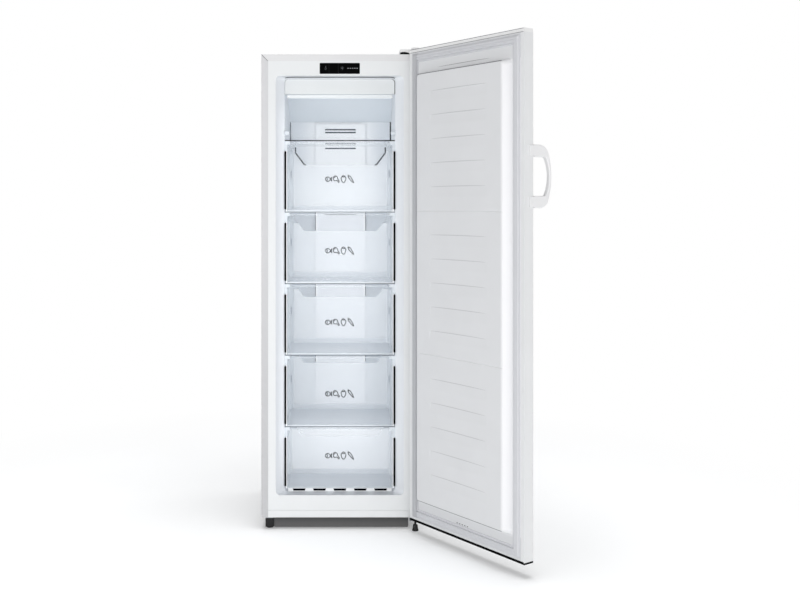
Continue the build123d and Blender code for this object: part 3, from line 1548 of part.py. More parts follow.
# Black cap along its bottom edge.
with BuildPart() as door_bottom_cap:
    with BuildSketch(Plane.XY.offset(door_bottom)):
        add(door_outline(0))
    extrude(amount=bottom_cap_height)
    with BuildSketch(Plane.XY.offset(pan_bottom)):
        add(door_outline(cap_wall))
        with Locations((hinge_x, hinge_y)):
            Circle(boss_radius, mode=Mode.SUBTRACT)
    extrude(amount=-(bottom_cap_height - cap_wall), mode=Mode.SUBTRACT)
    with Locations((hinge_x, hinge_y, door_bottom)):
        Cylinder(bush_radius + running_clearance, 4 * bottom_cap_height, mode=Mode.SUBTRACT)
write_on_door(door_bottom_cap, "door_bottom_cap")

# Nylon bushes in both caps, each with a flange that the door turns on.
upper_flange = arm_bottom - side_gap - door_top
lower_flange = door_bottom - cabinet_bottom - side_gap
with BuildPart() as hinge_bushes:
    for level, flange, inwards in ((door_top, upper_flange, -1), (door_bottom, lower_flange, 1)):
        with BuildSketch(Plane.XY.offset(level)):
            with Locations((hinge_x, hinge_y)):
                Circle(bush_radius)
        extrude(amount=inwards * bush_length)
        with BuildSketch(Plane.XY.offset(level)):
            with Locations((hinge_x, hinge_y)):
                Circle(bush_flange_radius)
        extrude(amount=-inwards * flange)
    with Locations((hinge_x, hinge_y, (door_top + door_bottom) / 2)):
        Cylinder(
            hinge_pin_radius + running_clearance,
            door_top - door_bottom + 4 * bush_length,
            mode=Mode.SUBTRACT,
        )
write_on_door(hinge_bushes, "hinge_bushes")

# Magnetic gasket: a flat base ring with a softer raised ring that meets the cabinet's front.
with BuildPart() as door_gasket:
    gasket_half_width = half_width - gasket_margin
    gasket_low = door_bottom + gasket_margin
    gasket_high = door_top - gasket_margin
    gasket_middle = (gasket_low + gasket_high) / 2
    gasket_length = gasket_high - gasket_low
    with BuildSketch(upright(door_inner)):
        with Locations((0, gasket_middle)):
            Rectangle(2 * gasket_half_width, gasket_length)
            Rectangle(
                2 * (gasket_half_width - gasket_width),
                gasket_length - 2 * gasket_width,
                mode=Mode.SUBTRACT,
            )
    extrude(amount=-gasket_base)
    bulb_outer = gasket_bulb_offset
    bulb_inner = gasket_bulb_offset + gasket_bulb_width
    with BuildSketch(upright(door_inner + gasket_base)):
        with Locations((0, gasket_middle)):
            Rectangle(2 * (gasket_half_width - bulb_outer), gasket_length - 2 * bulb_outer)
            Rectangle(
                2 * (gasket_half_width - bulb_inner),
                gasket_length - 2 * bulb_inner,
                mode=Mode.SUBTRACT,
            )
    extrude(amount=-(door_gap - gasket_base - side_gap))
write_on_door(door_gasket, "door_gasket")

# White bow handle: two feet lapped round the door's edge, two legs and a bowed grip between them.
with BuildPart() as door_handle:
    outboard = -half_width - handle_outboard
    leg_root = door_outer - side_gap
    handle_middle = (handle_bottom + handle_top) / 2
    hole_low = handle_bottom + handle_leg_height
    hole_high = handle_top - handle_leg_height
    bow_shapes = (
        (handle_bottom, handle_top, handle_shoulder, handle_reach, handle_shoulder_radius),
        (hole_low, hole_high, hole_shoulder, handle_reach - handle_bar, hole_shoulder_radius),
    )
    for low, high, shoulder, reach, radius in bow_shapes:
        with BuildSketch(Plane.YZ.offset(outboard)) as bow:
            with BuildLine():
                Line((leg_root, low), (leg_root, high))
                Line((leg_root, high), (door_outer - shoulder, high))
                ThreePointArc(
                    (door_outer - shoulder, high),
                    (door_outer - reach, handle_middle),
                    (door_outer - shoulder, low),
                )
                Line((door_outer - shoulder, low), (leg_root, low))
            make_face()
            fillet(bow.vertices().sort_by(Axis.X)[0:2], radius)
        extrude(amount=handle_width, mode=Mode.ADD if low == handle_bottom else Mode.SUBTRACT)
    bow_edges = door_handle.edges().filter_by(Axis.X, reverse=True)
    fillet(bow_edges.filter_by(lambda edge: edge.center().Y < leg_root - 1), handle_rounding)
    for low in (handle_bottom, hole_high):
        with BuildSketch(Plane.YZ.offset(outboard)):
            foot_length = handle_foot_wrap + handle_foot_root
            foot_middle = door_outer + (handle_foot_wrap - handle_foot_root) / 2
            with Locations((foot_middle, low + handle_leg_height / 2)):
                RectangleRounded(foot_length, handle_leg_height - 2 * handle_rounding, handle_rounding)
        extrude(amount=handle_outboard - side_gap)
    with Locations([(outboard, handle_screw_y, height) for height in screw_heights]):
        Cylinder(
            handle_head_radius + screw_play,
            2 * handle_head_sink,
            rotation=(0, 90, 0),
            mode=Mode.SUBTRACT,
        )
        Cylinder(
            handle_screw_radius + screw_play,
            4 * handle_outboard,
            rotation=(0, 90, 0),
            mode=Mode.SUBTRACT,
        )
write_on_door(door_handle, "door_handle")

# Screws that hold the handle's feet to the door's edge.
with BuildPart() as handle_screws:
    for height in screw_heights:
        with BuildSketch(Plane.YZ.offset(outboard + handle_head_sink)):
            with Locations((handle_screw_y, height)):
                Circle(handle_head_radius)
        extrude(amount=-handle_head)
        with BuildSketch(Plane.YZ.offset(outboard + handle_head_sink)):
            with Locations((handle_screw_y, height)):
                Circle(handle_screw_radius)
        extrude(amount=handle_outboard - handle_head_sink + handle_screw_length)
write_on_door(handle_screws, "handle_screws")

print("shelves at", shelf_lines)
print("drawer floors at", drawer_floors)
print("hinge axis at", hinge_x, hinge_y)
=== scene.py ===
import json

import bpy
import numpy as np
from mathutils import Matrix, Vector


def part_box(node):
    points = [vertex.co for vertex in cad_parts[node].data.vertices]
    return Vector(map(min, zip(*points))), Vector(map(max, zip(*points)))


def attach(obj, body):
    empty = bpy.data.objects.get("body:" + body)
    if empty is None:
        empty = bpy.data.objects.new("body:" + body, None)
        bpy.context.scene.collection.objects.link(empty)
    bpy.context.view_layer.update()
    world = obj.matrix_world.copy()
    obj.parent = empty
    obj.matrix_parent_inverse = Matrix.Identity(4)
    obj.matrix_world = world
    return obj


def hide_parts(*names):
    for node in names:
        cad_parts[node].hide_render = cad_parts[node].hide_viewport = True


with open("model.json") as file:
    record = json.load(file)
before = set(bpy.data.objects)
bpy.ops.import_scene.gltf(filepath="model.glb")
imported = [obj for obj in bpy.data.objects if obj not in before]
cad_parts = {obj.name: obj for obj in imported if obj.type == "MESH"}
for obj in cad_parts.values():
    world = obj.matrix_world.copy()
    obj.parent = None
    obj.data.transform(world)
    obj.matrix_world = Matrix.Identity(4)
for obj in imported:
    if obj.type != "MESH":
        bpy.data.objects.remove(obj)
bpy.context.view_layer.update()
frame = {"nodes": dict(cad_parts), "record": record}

nodes = frame["nodes"]

# ---------------------------------------------------------------------------------------------
# The view. The photograph was taken square to the cabinet's front from about chest height, a
# little right of its middle, with the picture's frame moved instead of the camera being turned.
view = bpy.data.cameras.new("view")
view.sensor_width = 36.0
view.lens = 45.53
view.shift_x = 0.0663
view.shift_y = -0.1172
viewpoint = bpy.data.objects.new("viewpoint", view)
viewpoint.location = (0.0254, -3.815, 1.141)
viewpoint.rotation_euler = (np.pi / 2, 0.0, 0.0)
bpy.context.scene.collection.objects.link(viewpoint)
bpy.context.scene.camera = viewpoint
bpy.context.scene.view_settings.view_transform = "Standard"
bpy.context.scene.cycles.transparent_max_bounces = 48  # a ray crosses many clear walls here


# ---------------------------------------------------------------------------------------------
# The studio. A white floor in an even white room, with soft lamps in front and at both sides, one
# overhead for the floor alone, and a weak one in the cavity's mouth, as a freezer's own light is.
# To the camera and in reflections the room is plain white; on the freezer it is a quieter fill.
def paint(r, g, b):
    """A colour written as it looks on a screen, 0 to 255, turned into scene-linear light."""
    level = np.array([r, g, b]) / 255.0
    low = level / 12.92
    high = ((level + 0.055) / 1.055) ** 2.4
    return (*[float(v) for v in np.where(level < 0.04045, low, high)], 1.0)


class Value:
    """One output of a material's nodes, with the arithmetic signs as its Math nodes."""

    def __init__(self, tree, socket):
        self.tree = tree
        self.socket = socket

    @classmethod
    def node(cls, tree, kind, settings=None, out=0, **inputs):
        """Any other node: its type, its settings, then what goes into its sockets, each by its
        name or by an underscore and its number."""
        made = tree.nodes.new(kind)
        for name, value in (settings or {}).items():
            setattr(made, name, value)
        for name, value in inputs.items():
            socket = made.inputs[int(name[1:]) if name[1:].isdigit() else name.replace("_", " ")]
            if isinstance(value, Value):
                tree.links.new(value.socket, socket)
            else:
                socket.default_value = value
        return cls(tree, made.outputs[out])

    def _maths(self, operation, a, b=0.0):
        return Value.node(self.tree, "ShaderNodeMath", {"operation": operation}, _0=a, _1=b)

    def __add__(self, other):
        return self._maths("ADD", self, other)

    def __radd__(self, other):
        return self._maths("ADD", other, self)

    def __sub__(self, other):
        return self._maths("SUBTRACT", self, other)

    def __rsub__(self, other):
        return self._maths("SUBTRACT", other, self)

    def __mul__(self, other):
        return self._maths("MULTIPLY", self, other)

    def __rmul__(self, other):
        return self._maths("MULTIPLY", other, self)

    def __truediv__(self, other):
        return self._maths("DIVIDE", self, other)

    def __mod__(self, other):
        return self._maths("MODULO", self, other)

    def split(self):
        """The three coordinates of a place, as three values."""
        parts = self.tree.nodes.new("ShaderNodeSeparateXYZ")
        self.tree.links.new(self.socket, parts.inputs[0])
        return [Value(self.tree, parts.outputs[axis]) for axis in range(3)]

    def size(self):
        """The value without its sign."""
        return self._maths("ABSOLUTE", self)

    def most(self, limit):
        """The value, or limit where it is more than that."""
        return self._maths("MINIMUM", self, limit)

    def above(self, edge, soft):
        """0 well under edge and 1 well over it, changing smoothly across soft."""
        return Value.node(
            self.tree, "ShaderNodeMapRange", {"interpolation_type": "SMOOTHSTEP"},
            _0=self, _1=edge - soft / 2, _2=edge + soft / 2, _3=0.0, _4=1.0,
        )

    def below(self, edge, soft):
        """1 well under edge and 0 well over it, changing smoothly across soft."""
        return 1.0 - self.above(edge, soft)

    def blend(self, low, high):
        """The colour low where this value is 0 and high where it is 1."""
        return Value.node(
            self.tree, "ShaderNodeMix", {"data_type": "RGBA"}, out=2, _0=self, _6=low, _7=high
        )


floor_size = 24.0
floor_corners = floor_size / 2 * np.array([[-1, -1, 0], [1, -1, 0], [1, 1, 0], [-1, 1, 0]])
floor_mesh = bpy.data.meshes.new("studio_floor")
floor_mesh.from_pydata(floor_corners.tolist(), [], [(0, 1, 2, 3)])
floor = bpy.data.objects.new("studio_floor", floor_mesh)
bpy.context.scene.collection.objects.link(floor)

floor_paint = bpy.data.materials.new("studio_floor")
floor_paint.use_nodes = True
tree = floor_paint.node_tree
tree.nodes.clear()
floor_glow = 0.22
far_from, far_soft = 1.5, 1.2
seen = Value.node(tree, "ShaderNodeLightPath")
floor_place = Value.node(tree, "ShaderNodeTexCoord", out=3)
grain = Value.node(tree, "ShaderNodeTexNoise", Vector=floor_place, Scale=2.5)
matt = Value.node(
    tree, "ShaderNodeBsdfDiffuse", Color=grain.blend(paint(230, 231, 232), paint(236, 237, 238))
)
glow = Value.node(tree, "ShaderNodeEmission", Color=(1, 1, 1, 1), Strength=seen * floor_glow)
near_floor = Value.node(tree, "ShaderNodeAddShader", _0=matt, _1=glow)
far_floor = Value.node(tree, "ShaderNodeEmission", Color=(1, 1, 1, 1), Strength=1.0)
distance = Value.node(tree, "ShaderNodeVectorMath", {"operation": "LENGTH"}, out=1, _0=floor_place)
white_out = distance.above(far_from, far_soft) * seen
floor_look = Value.node(tree, "ShaderNodeMixShader", _0=white_out, _1=near_floor, _2=far_floor)
floor_out = tree.nodes.new("ShaderNodeOutputMaterial")
tree.links.new(floor_look.socket, floor_out.inputs["Surface"])
floor_mesh.materials.append(floor_paint)

room = bpy.data.worlds.new("white_room")
bpy.context.scene.world = room
room.use_nodes = True
tree = room.node_tree
tree.nodes.clear()
rays = tree.nodes.new("ShaderNodeLightPath")
direct = Value(tree, rays.outputs["Is Camera Ray"])
mirrored = Value(tree, rays.outputs["Is Glossy Ray"])
through = Value(tree, rays.outputs["Is Transmission Ray"])
shown = (direct + mirrored + through).most(1.0)
room_fill = 0.42
room_light = Value.node(
    tree, "ShaderNodeBackground", Color=(1, 1, 1, 1), Strength=shown * (1 - room_fill) + room_fill
)
room_out = tree.nodes.new("ShaderNodeOutputWorld")
tree.links.new(room_light.socket, room_out.inputs["Surface"])

# Each lamp's place, what it points at, its breadth and height, and its watts.
lamp_places = {
    "lamp_left": ((-3.2, -4.2, 0.80), (0.1, -0.2, 0.9), (3.0, 1.5), 55.0),
    "lamp_right": ((3.2, -4.2, 0.80), (0.1, -0.2, 0.9), (3.0, 1.5), 42.0),
    "lamp_front": ((0.1, -5.8, 0.80), (0.1, -0.2, 0.9), (3.0, 1.5), 47.0),
    "lamp_over_floor": ((0.1, -0.3, 5.0), (0.1, -0.3, 0.0), (3.0, 3.0), 158.0),
    "lamp_inside": ((-0.03, -0.246, 0.835), (-0.03, 0.2, 0.835), (0.31, 1.33), 0.66),
}
floor_alone = bpy.data.collections.new("floor_alone")
floor_alone.objects.link(floor)
for name, (place, target, (breadth, height), power) in lamp_places.items():
    lamp = bpy.data.lights.new(name, "AREA")
    lamp.shape = "RECTANGLE"
    lamp.size = breadth
    lamp.size_y = height
    lamp.energy = power
    stand = bpy.data.objects.new(name, lamp)
    stand.location = place
    stand.rotation_euler = (Vector(target) - Vector(place)).to_track_quat("-Z", "Y").to_euler()
    bpy.context.scene.collection.objects.link(stand)
    if name == "lamp_over_floor":
        stand.light_linking.receiver_collection = floor_alone


# ---------------------------------------------------------------------------------------------
# The shell. Steel sheet bent round the sides and over the top, stove enamelled: a smooth white with
# a very fine orange-peel skin, greyer on the sides, where painted shade darkens it further towards
# the floor.
side_shade_middle, side_shade_fade = 0.85, 1.7


def finish(name, colour, roughness=0.4, metallic=0.0, coat=0.0, mottle=0.012, peel=0.0,
           peel_size=900.0, shine=0.5):
    """A moulded or painted surface: cloudy colour and gloss by a few percent, and a fine skin.
    The cloudiness is soft noise over hand-sized patches; the skin is noise of about a millimetre
    that tilts the surface. shine is how strongly a bare surface mirrors, 0.5 on common plastic.
    A colour that changes over the surface is given as a function of across, back, up and cloud,
    which are the place in metres and the cloudiness there, from 0 to 1."""
    material = bpy.data.materials.new(name)
    material.use_nodes = True
    nodes_of = material.node_tree
    shader = nodes_of.nodes["Principled BSDF"]
    place = Value.node(nodes_of, "ShaderNodeTexCoord", out=3)
    cloud = Value.node(nodes_of, "ShaderNodeTexNoise", Vector=place, Scale=9.0, Detail=3.0)
    fine = Value.node(nodes_of, "ShaderNodeTexNoise", Vector=place, Scale=peel_size, Detail=2.0)
    if callable(colour):
        shown_colour = colour(*place.split(), cloud)
    else:
        deep = tuple(c * (1 - mottle * 2) for c in colour[:3]) + (1.0,)
        pale = tuple(min(1.0, c * (1 + mottle * 2)) for c in colour[:3]) + (1.0,)
        shown_colour = cloud.blend(deep, pale)
    gloss = roughness + (cloud - 0.5) * 0.10 + (fine - 0.5) * 0.04
    nodes_of.links.new(shown_colour.socket, shader.inputs["Base Color"])
    nodes_of.links.new(gloss.socket, shader.inputs["Roughness"])
    shader.inputs["Metallic"].default_value = metallic
    shader.inputs["Coat Weight"].default_value = coat
    shader.inputs["Coat Roughness"].default_value = 0.12
    shader.inputs["Specular IOR Level"].default_value = shine
    if peel:
        skin = Value.node(nodes_of, "ShaderNodeBump", Strength=peel, Distance=0.0002, Height=fine)
        nodes_of.links.new(skin.socket, shader.inputs["Normal"])
    return material


def dress(material, *names):
    """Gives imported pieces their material, in every slot that they have."""
    for name in names:
        mesh = nodes[name].data
        if not mesh.materials:
            mesh.materials.append(material)
        for place in range(len(mesh.materials)):
            mesh.materials[place] = material


def side_tone_and_shade(across, back, up, cloud):
    """Painted shade: grey at the floor and smoothly paler up to the top."""
    return up.above(side_shade_middle, side_shade_fade).blend(
        cloud.blend(paint(196, 196, 198), paint(201, 201, 203)),
        cloud.blend(paint(213, 213, 215), paint(218, 218, 220)))


dress(finish("side_enamel_shaded", side_tone_and_shade, 0.38, peel=0.25), "side_panel_left", "side_panel_right")
dress(finish("top_enamel", paint(230, 230, 231), 0.36, peel=0.25), "top_panel")
dress(finish("door_enamel", paint(232, 233, 234), 0.34, peel=0.25), "door_outer_panel")

# ---------------------------------------------------------------------------------------------
# The front. A white frame moulded in one piece clips round the cavity's mouth; a separate strip
# closes the front below it, and caps finish the door's two ends.
front_white = finish("front_white", paint(236, 238, 239), 0.42, peel=0.12)
dress(front_white, "front_frame", "lower_front_panel")
cap_white = finish("cap_white", paint(240, 240, 240), 0.40, peel=0.12)
dress(cap_white, "door_top_cap", "upper_hinge_cover")

# ---------------------------------------------------------------------------------------------
# The liner. Vacuum-formed white plastic with a cool tint, in shade where it slopes under the
# lowest drawer, and the moulded fittings clipped into it: rails, fascia and the flap's bosses.
mouth_foot_shade_top = 0.1335
mouth_foot_shade_half = 0.190


def liner_tone(across, back, up, cloud):
    """Painted shade, grey, on the middle of the slope at the foot of the mouth, and white
    elsewhere.
    """
    mouth_foot_shade = up.below(mouth_foot_shade_top, 0.002) * across.size().below(mouth_foot_shade_half, 0.012)
    return mouth_foot_shade.blend(cloud.blend(paint(236, 239, 243), paint(240, 243, 247)),
                           cloud.blend(paint(204, 207, 211), paint(209, 212, 216)))


dress(finish("liner_white", liner_tone, 0.36, peel=0.10), "inner_liner")
dress(finish("rail_white", paint(218, 224, 230), 0.36, peel=0.10), "shelf_rails", "flap_pivots")
dress(finish("fascia_white", paint(226, 229, 230), 0.4, peel=0.12), "top_fascia")

# ---------------------------------------------------------------------------------------------
# The line round the fascia. A thin dark line of painted shade follows the joint between the fascia
# and the liner: it lies on the mouth's upper slope and runs down both walls beside the fascia, with
# darker painted shade on the right and nearly as pale as the wall on the left.
frame_inset = 0.0008  # how far the frame's face lies behind the shell's
front_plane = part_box("front_frame")[0][1] - frame_inset
fascia_low, fascia_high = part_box("top_fascia")
fascia_shade_radius = 0.013
fascia_shade_width = 0.0024
fascia_shade_face = front_plane + 0.0496
fascia_shade_crown = fascia_high[2] + 0.0008
fascia_shade_right = 0.188
slope_fall, slope_length = 0.005, 0.050
strip_reach = fascia_high[0] - 0.0015
strip_depth, strip_half = 0.023, 0.005
strip_bend, strip_drop = 0.020, 0.022
strip_clear = 0.0009


def surface(name, grids, body, material):
    """A mesh from grids of points, each rows by columns by 3: every square of a grid is a face,
    and a grid given as (grid, True) joins its last column to its first. It rides on body."""
    points, faces, used = [], [], 0
    for grid, ring in grids:
        rows, columns = grid.shape[:2]
        row = np.arange(rows - 1)[:, None]
        column = np.arange(columns if ring else columns - 1)[None, :]
        beside = (column + 1) % columns
        corners = (row * columns + column, (row + 1) * columns + column,
                   (row + 1) * columns + beside, row * columns + beside)
        faces.append(np.stack(corners, axis=-1).reshape(-1, 4) + used)
        points.append(grid.reshape(-1, 3))
        used += rows * columns
    mesh = bpy.data.meshes.new(name)
    mesh.from_pydata(np.concatenate(points).tolist(), [], np.concatenate(faces).tolist())
    mesh.materials.append(material)
    piece = bpy.data.objects.new(name, mesh)
    bpy.context.scene.collection.objects.link(piece)
    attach(piece, body)
    return piece


def ribbon(path, width, face, ring=False):
    """A flat line facing the front: each point of a path across and up is moved half the width to
    both sides, square to the path's direction there. Gives rows of two points each."""
    path = np.asarray(path, dtype=float)
    if ring:
        path = np.vstack([path, path[:1]])
        along = np.roll(path[:-1], -1, axis=0) - np.roll(path[:-1], 1, axis=0)
        along = np.vstack([along, along[:1]])
    else:
        along = np.gradient(path, axis=0)
    along /= np.linalg.norm(along, axis=1, keepdims=True)
    aside = np.stack([-along[:, 1], along[:, 0]], axis=1) * width / 2
    grid = np.empty((len(path), 2, 3))
    grid[:, 0, 0::2] = path - aside
    grid[:, 1, 0::2] = path + aside
    grid[:, :, 1] = face
    return grid


def fascia_shade_line():
    """Up the left side, round a quarter circle at each top corner and down the right side."""
    reach = fascia_high[0] - fascia_shade_width / 2
    crown = fascia_high[2] - fascia_shade_width / 2
    turn = np.linspace(0.0, np.pi / 2, 9)
    right_x = reach - fascia_shade_radius + fascia_shade_radius * np.sin(turn)
    corner_z = crown - fascia_shade_radius + fascia_shade_radius * np.cos(turn)
    right = np.stack([right_x, corner_z], axis=1)
    left = np.stack([-right_x[::-1], corner_z[::-1]], axis=1)
    foot = fascia_low[2]
    return np.vstack([[(-reach, foot)], left, right, [(reach, foot)]])


def fascia_shade_tone(across, back, up, cloud):
    """Painted shade: dark grey along the crown, darker down the right side and pale down the left.
    """
    beside = across.above(fascia_shade_right, 0.012).blend(paint(206, 209, 212), paint(48, 52, 56))
    return up.above(fascia_shade_crown, 0.0006).blend(beside, paint(74, 76, 80))


def slope_shade_strip():
    """A strip of painted shade across the mouth's upper slope: two rows, strip_half to both sides
    of a line strip_depth in from the front. Over its last strip_bend at each end the line runs
    strip_drop deeper, as a quarter of an ellipse does. The points crowd towards the ends, as the
    sine of an even turn."""
    across = strip_reach * np.sin(np.linspace(-np.pi / 2, np.pi / 2, 49))
    bend = np.clip((np.abs(across) - strip_reach + strip_bend) / strip_bend, 0.0, 1.0)
    line = strip_depth + strip_drop * (1.0 - np.sqrt(1.0 - bend ** 2))
    depth = line + strip_half * np.array([[-1.0], [1.0]])
    grid = np.empty((2, len(across), 3))
    grid[:, :, 0] = across
    grid[:, :, 1] = front_plane + depth
    grid[:, :, 2] = fascia_high[2] + slope_fall - strip_clear - depth * slope_fall / slope_length
    return grid


fascia_shade_grid = ribbon(fascia_shade_line(), fascia_shade_width, fascia_shade_face)
surface("fascia_painted_shade", [(fascia_shade_grid, False), (slope_shade_strip()[::-1], False)], "cabinet",
        finish("fascia_shade_dark", fascia_shade_tone, 0.6, shine=0.1))

# ---------------------------------------------------------------------------------------------
# The mitres of the shell. Where the folded flanges of the side and the top meet at the front
# corners, a thin dark seam shows.
shell_side, shell_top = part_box("side_panel_right")[1][0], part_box("top_panel")[1][2]
flange_width = 0.0236
mitre_start = 0.0008
mitre_width = 0.0013
mitre_face = front_plane - 0.0010


def outwards(grid, side):
    """A line's grid on the side 1 or -1: mirrored on the left, its columns change places there,
    so that its faces look the same way."""
    return grid if side > 0 else grid[:, ::-1]


mitre_in = np.array([mitre_start, flange_width / 2, flange_width])
mitre_grids = []
for side in (-1, 1):
    path = np.stack([side * (shell_side - mitre_in), shell_top - mitre_in], axis=1)
    mitre_grids.append((outwards(ribbon(path, mitre_width, mitre_face), side), False))
surface("flange_mitres", mitre_grids, "cabinet",
        finish("mitre_dark", paint(84, 86, 88), 0.7, shine=0.1))

# ---------------------------------------------------------------------------------------------
# The air-return grille, a white moulded strip along the cavity's floor, with painted shade inside
# its five slots, and behind them a shallow black sheet of painted shade, so that they look open and
# deep.
grille_low, grille_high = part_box("air_return_grille")
shade_sheet_half = grille_high[0] - 0.004
shade_sheet_face = grille_high[1] + 0.0008
shade_sheet_bulge = 0.003
shade_sheet_bottom = grille_low[2] + 0.0008
shade_sheet_height = 0.0098
slot_shade_from = grille_low[1] + 0.0005

# The face of this sheet of painted shade bulges back by its bulge, as half a sine wave over its
# height.
shade_sheet_rows = np.linspace(0.0, 1.0, 7)
shade_sheet_x = np.linspace(-shade_sheet_half, shade_sheet_half, 25)
shade_sheet = np.empty((len(shade_sheet_rows), len(shade_sheet_x), 3))
shade_sheet[:, :, 0] = shade_sheet_x
shade_sheet[:, :, 1] = (shade_sheet_face + shade_sheet_bulge * np.sin(np.pi * shade_sheet_rows))[:, None]
shade_sheet[:, :, 2] = (shade_sheet_bottom + shade_sheet_height * shade_sheet_rows)[:, None]
surface("grille_shade_sheet", [(shade_sheet[::-1], False)], "cabinet",
        finish("shade_sheet_black", paint(5, 7, 14), 0.9, shine=0.0))


def grille_tone_and_slot_shade(across, back, up, cloud):
    """White on the face, and painted shade, nearly black, inside the slots."""
    return back.above(slot_shade_from, 0.0003).blend(paint(244, 246, 248), paint(8, 10, 18))


dress(finish("grille_white_slot_shade", grille_tone_and_slot_shade, 0.36, peel=0.10), "air_return_grille")

# ---------------------------------------------------------------------------------------------
# The evaporator cover and the fan cover. Injection-moulded panels that clip in front of the
# evaporator: painted shade greys the upper cover's sides and the lower cover beside the raised
# duct, in the notches under the shelves the duct's edge is a painted dark line beside a painted
# highlight, and the fan cover above is moulded in a blue-grey plastic.
duct_half = 0.0972
duct_edge_shade_start, duct_edge_shade_end = duct_half - 0.0012, duct_half + 0.0022
duct_glint_start = duct_half - 0.0060
upper_cover_low = 1.128
upper_middle_half, upper_middle_fade = 0.128, 0.09
second_shelf_low = 1.120
shelf_pitch = 0.256
notch_height = 0.0745
duct_slot_heights = (1.4400, 1.4290, 1.3865, 1.3670)
duct_slot_half = 0.0595
duct_slot_width = 0.0054
duct_slot_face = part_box("evaporator_cover")[0][1] - 0.0003


def cover_tone(across, back, up, cloud):
    """Upper part: white in the middle, with blue-grey painted shade at the sides. Lower part: pale
    on the duct, with grey painted shade beside it, and a painted highlight and a painted dark line
    along the duct's edge in every notch."""
    aside = across.size()
    upper = aside.above(upper_middle_half, upper_middle_fade).blend(
        cloud.blend(paint(240, 243, 246), paint(245, 247, 249)),
        cloud.blend(paint(219, 225, 231), paint(224, 229, 235)))
    lower = aside.above(duct_half, 0.010).blend(
        cloud.blend(paint(228, 232, 237), paint(233, 236, 241)),
        cloud.blend(paint(194, 201, 209), paint(200, 207, 214)))
    in_notch = ((second_shelf_low - up) % shelf_pitch).below(notch_height, 0.001)
    # In every notch, a painted highlight and then a dark line of painted shade along the duct's
    # edge.
    glint = aside.above(duct_glint_start, 0.0010) * aside.below(duct_edge_shade_start, 0.0006)
    line = aside.above(duct_edge_shade_start, 0.0006) * aside.below(duct_edge_shade_end, 0.0006)
    lower = (in_notch * glint).blend(lower, paint(250, 251, 252))
    lower = (in_notch * line).blend(lower, paint(104, 112, 122))
    return up.above(upper_cover_low, 0.004).blend(lower, upper)


dress(finish("cover_plastic_shade_and_highlight", cover_tone, 0.42, peel=0.12), "evaporator_cover")
# Dark strips of painted shade over the duct's four air slots.
slot_shades = []
for height in duct_slot_heights:
    slot_line = [(-duct_slot_half, height), (0.0, height), (duct_slot_half, height)]
    slot_shades.append((ribbon(slot_line, duct_slot_width, duct_slot_face), False))
surface("duct_slot_shades", slot_shades, "cabinet",
        finish("air_slot_shade", paint(58, 64, 72), 0.8, shine=0.0))
dress(finish("fan_cover_grey", paint(224, 231, 237), 0.45, peel=0.12), "fan_cover")

# ---------------------------------------------------------------------------------------------
# The dark gaps beside the covers, as strips of painted shade. A thin line runs down the right wall
# from the fan cover's knee to the top shelf, and a fainter, shorter one down the left wall.
cover_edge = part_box("fan_cover")[1][0]
gap_clear = 0.0008
right_gap_width, left_gap_width = 0.0044, 0.0034
gap_slant = [(0.0165, 1.549), (0.0560, 1.5262), (0.1000, 1.5008), (0.1490, 1.4724)]
gap_upright = [(0.1542, 1.4700), (0.1542, 1.4250), (0.1542, 1.3790)]


def gap_line(side, path, width):
    """A strip of painted shade on the covers' face against the wall: each point of the path is
    (back, up).
    """
    back, up = np.array(path).T
    grid = np.empty((len(path), 2, 3))
    grid[:, 0, 0] = side * cover_edge
    grid[:, 1, 0] = side * (cover_edge - width)
    grid[:, :, 1] = back[:, None] - gap_clear
    grid[:, :, 2] = up[:, None]
    return outwards(grid, side)


right_gap = gap_line(1, gap_slant + gap_upright, right_gap_width)
surface("cover_gap_right", [(right_gap, False)], "cabinet",
        finish("gap_shade", paint(40, 46, 54), 0.8, shine=0.0))
left_gap = gap_line(-1, gap_upright, left_gap_width)
surface("cover_gap_left", [(left_gap, False)], "cabinet",
        finish("faint_gap_shade", paint(112, 120, 128), 0.8, shine=0.0))

# ---------------------------------------------------------------------------------------------
# The drawers. Injection-moulded clear polystyrene, about two millimetres thick: nearly invisible
# seen square, whiter where one looks along a wall, with a frosted foot and a frosted top edge.
drawer_names = [f"drawer_{number}" for number in range(1, 6)]
plate_face = front_plane + 0.050
plate_thick = 0.0028
end_highlight_from = 0.1893
lip_height, foot_height = 0.0028, 0.0042
rear_thick, rear_shade_height = 0.0030, 0.0165
floor_thick = 0.0036
shoulder_low, shoulder_high = 0.0376, 0.0350  # both down from the drawer's top
crisp = 0.0006
light_through = 0.9


def clear_moulding(name, colour, face_on, edge_on, roughness, regions):
    """See-through plastic. How solid it looks grows from face_on, seen square, to edge_on. Then
    regions(across, back, up) lists (mask, more, tone): where a mask is 1, the plastic is more
    solid by that much and has that tone. Light on its way to other things passes nearly all."""
    material = finish(name, colour, roughness)
    nodes_of = material.node_tree
    shader = nodes_of.nodes["Principled BSDF"]
    slant = Value.node(nodes_of, "ShaderNodeLayerWeight", out=1, Blend=0.35)
    solid, shade = slant * (edge_on - face_on) + face_on, colour
    for mask, more, tone in regions(*Value.node(nodes_of, "ShaderNodeTexCoord", out=3).split()):
        solid = solid + mask * more
        shade = mask.blend(shade, tone)
    light_path = nodes_of.nodes.new("ShaderNodeLightPath")
    to_lamp = Value(nodes_of, light_path.outputs["Is Shadow Ray"])
    to_wall = Value(nodes_of, light_path.outputs["Is Diffuse Ray"])
    passing = (to_lamp + to_wall).most(1.0) * light_through
    nodes_of.links.new((solid.most(1.0) * (1.0 - passing)).socket, shader.inputs["Alpha"])
    nodes_of.links.new(shade.socket, shader.inputs["Base Color"])
    return material


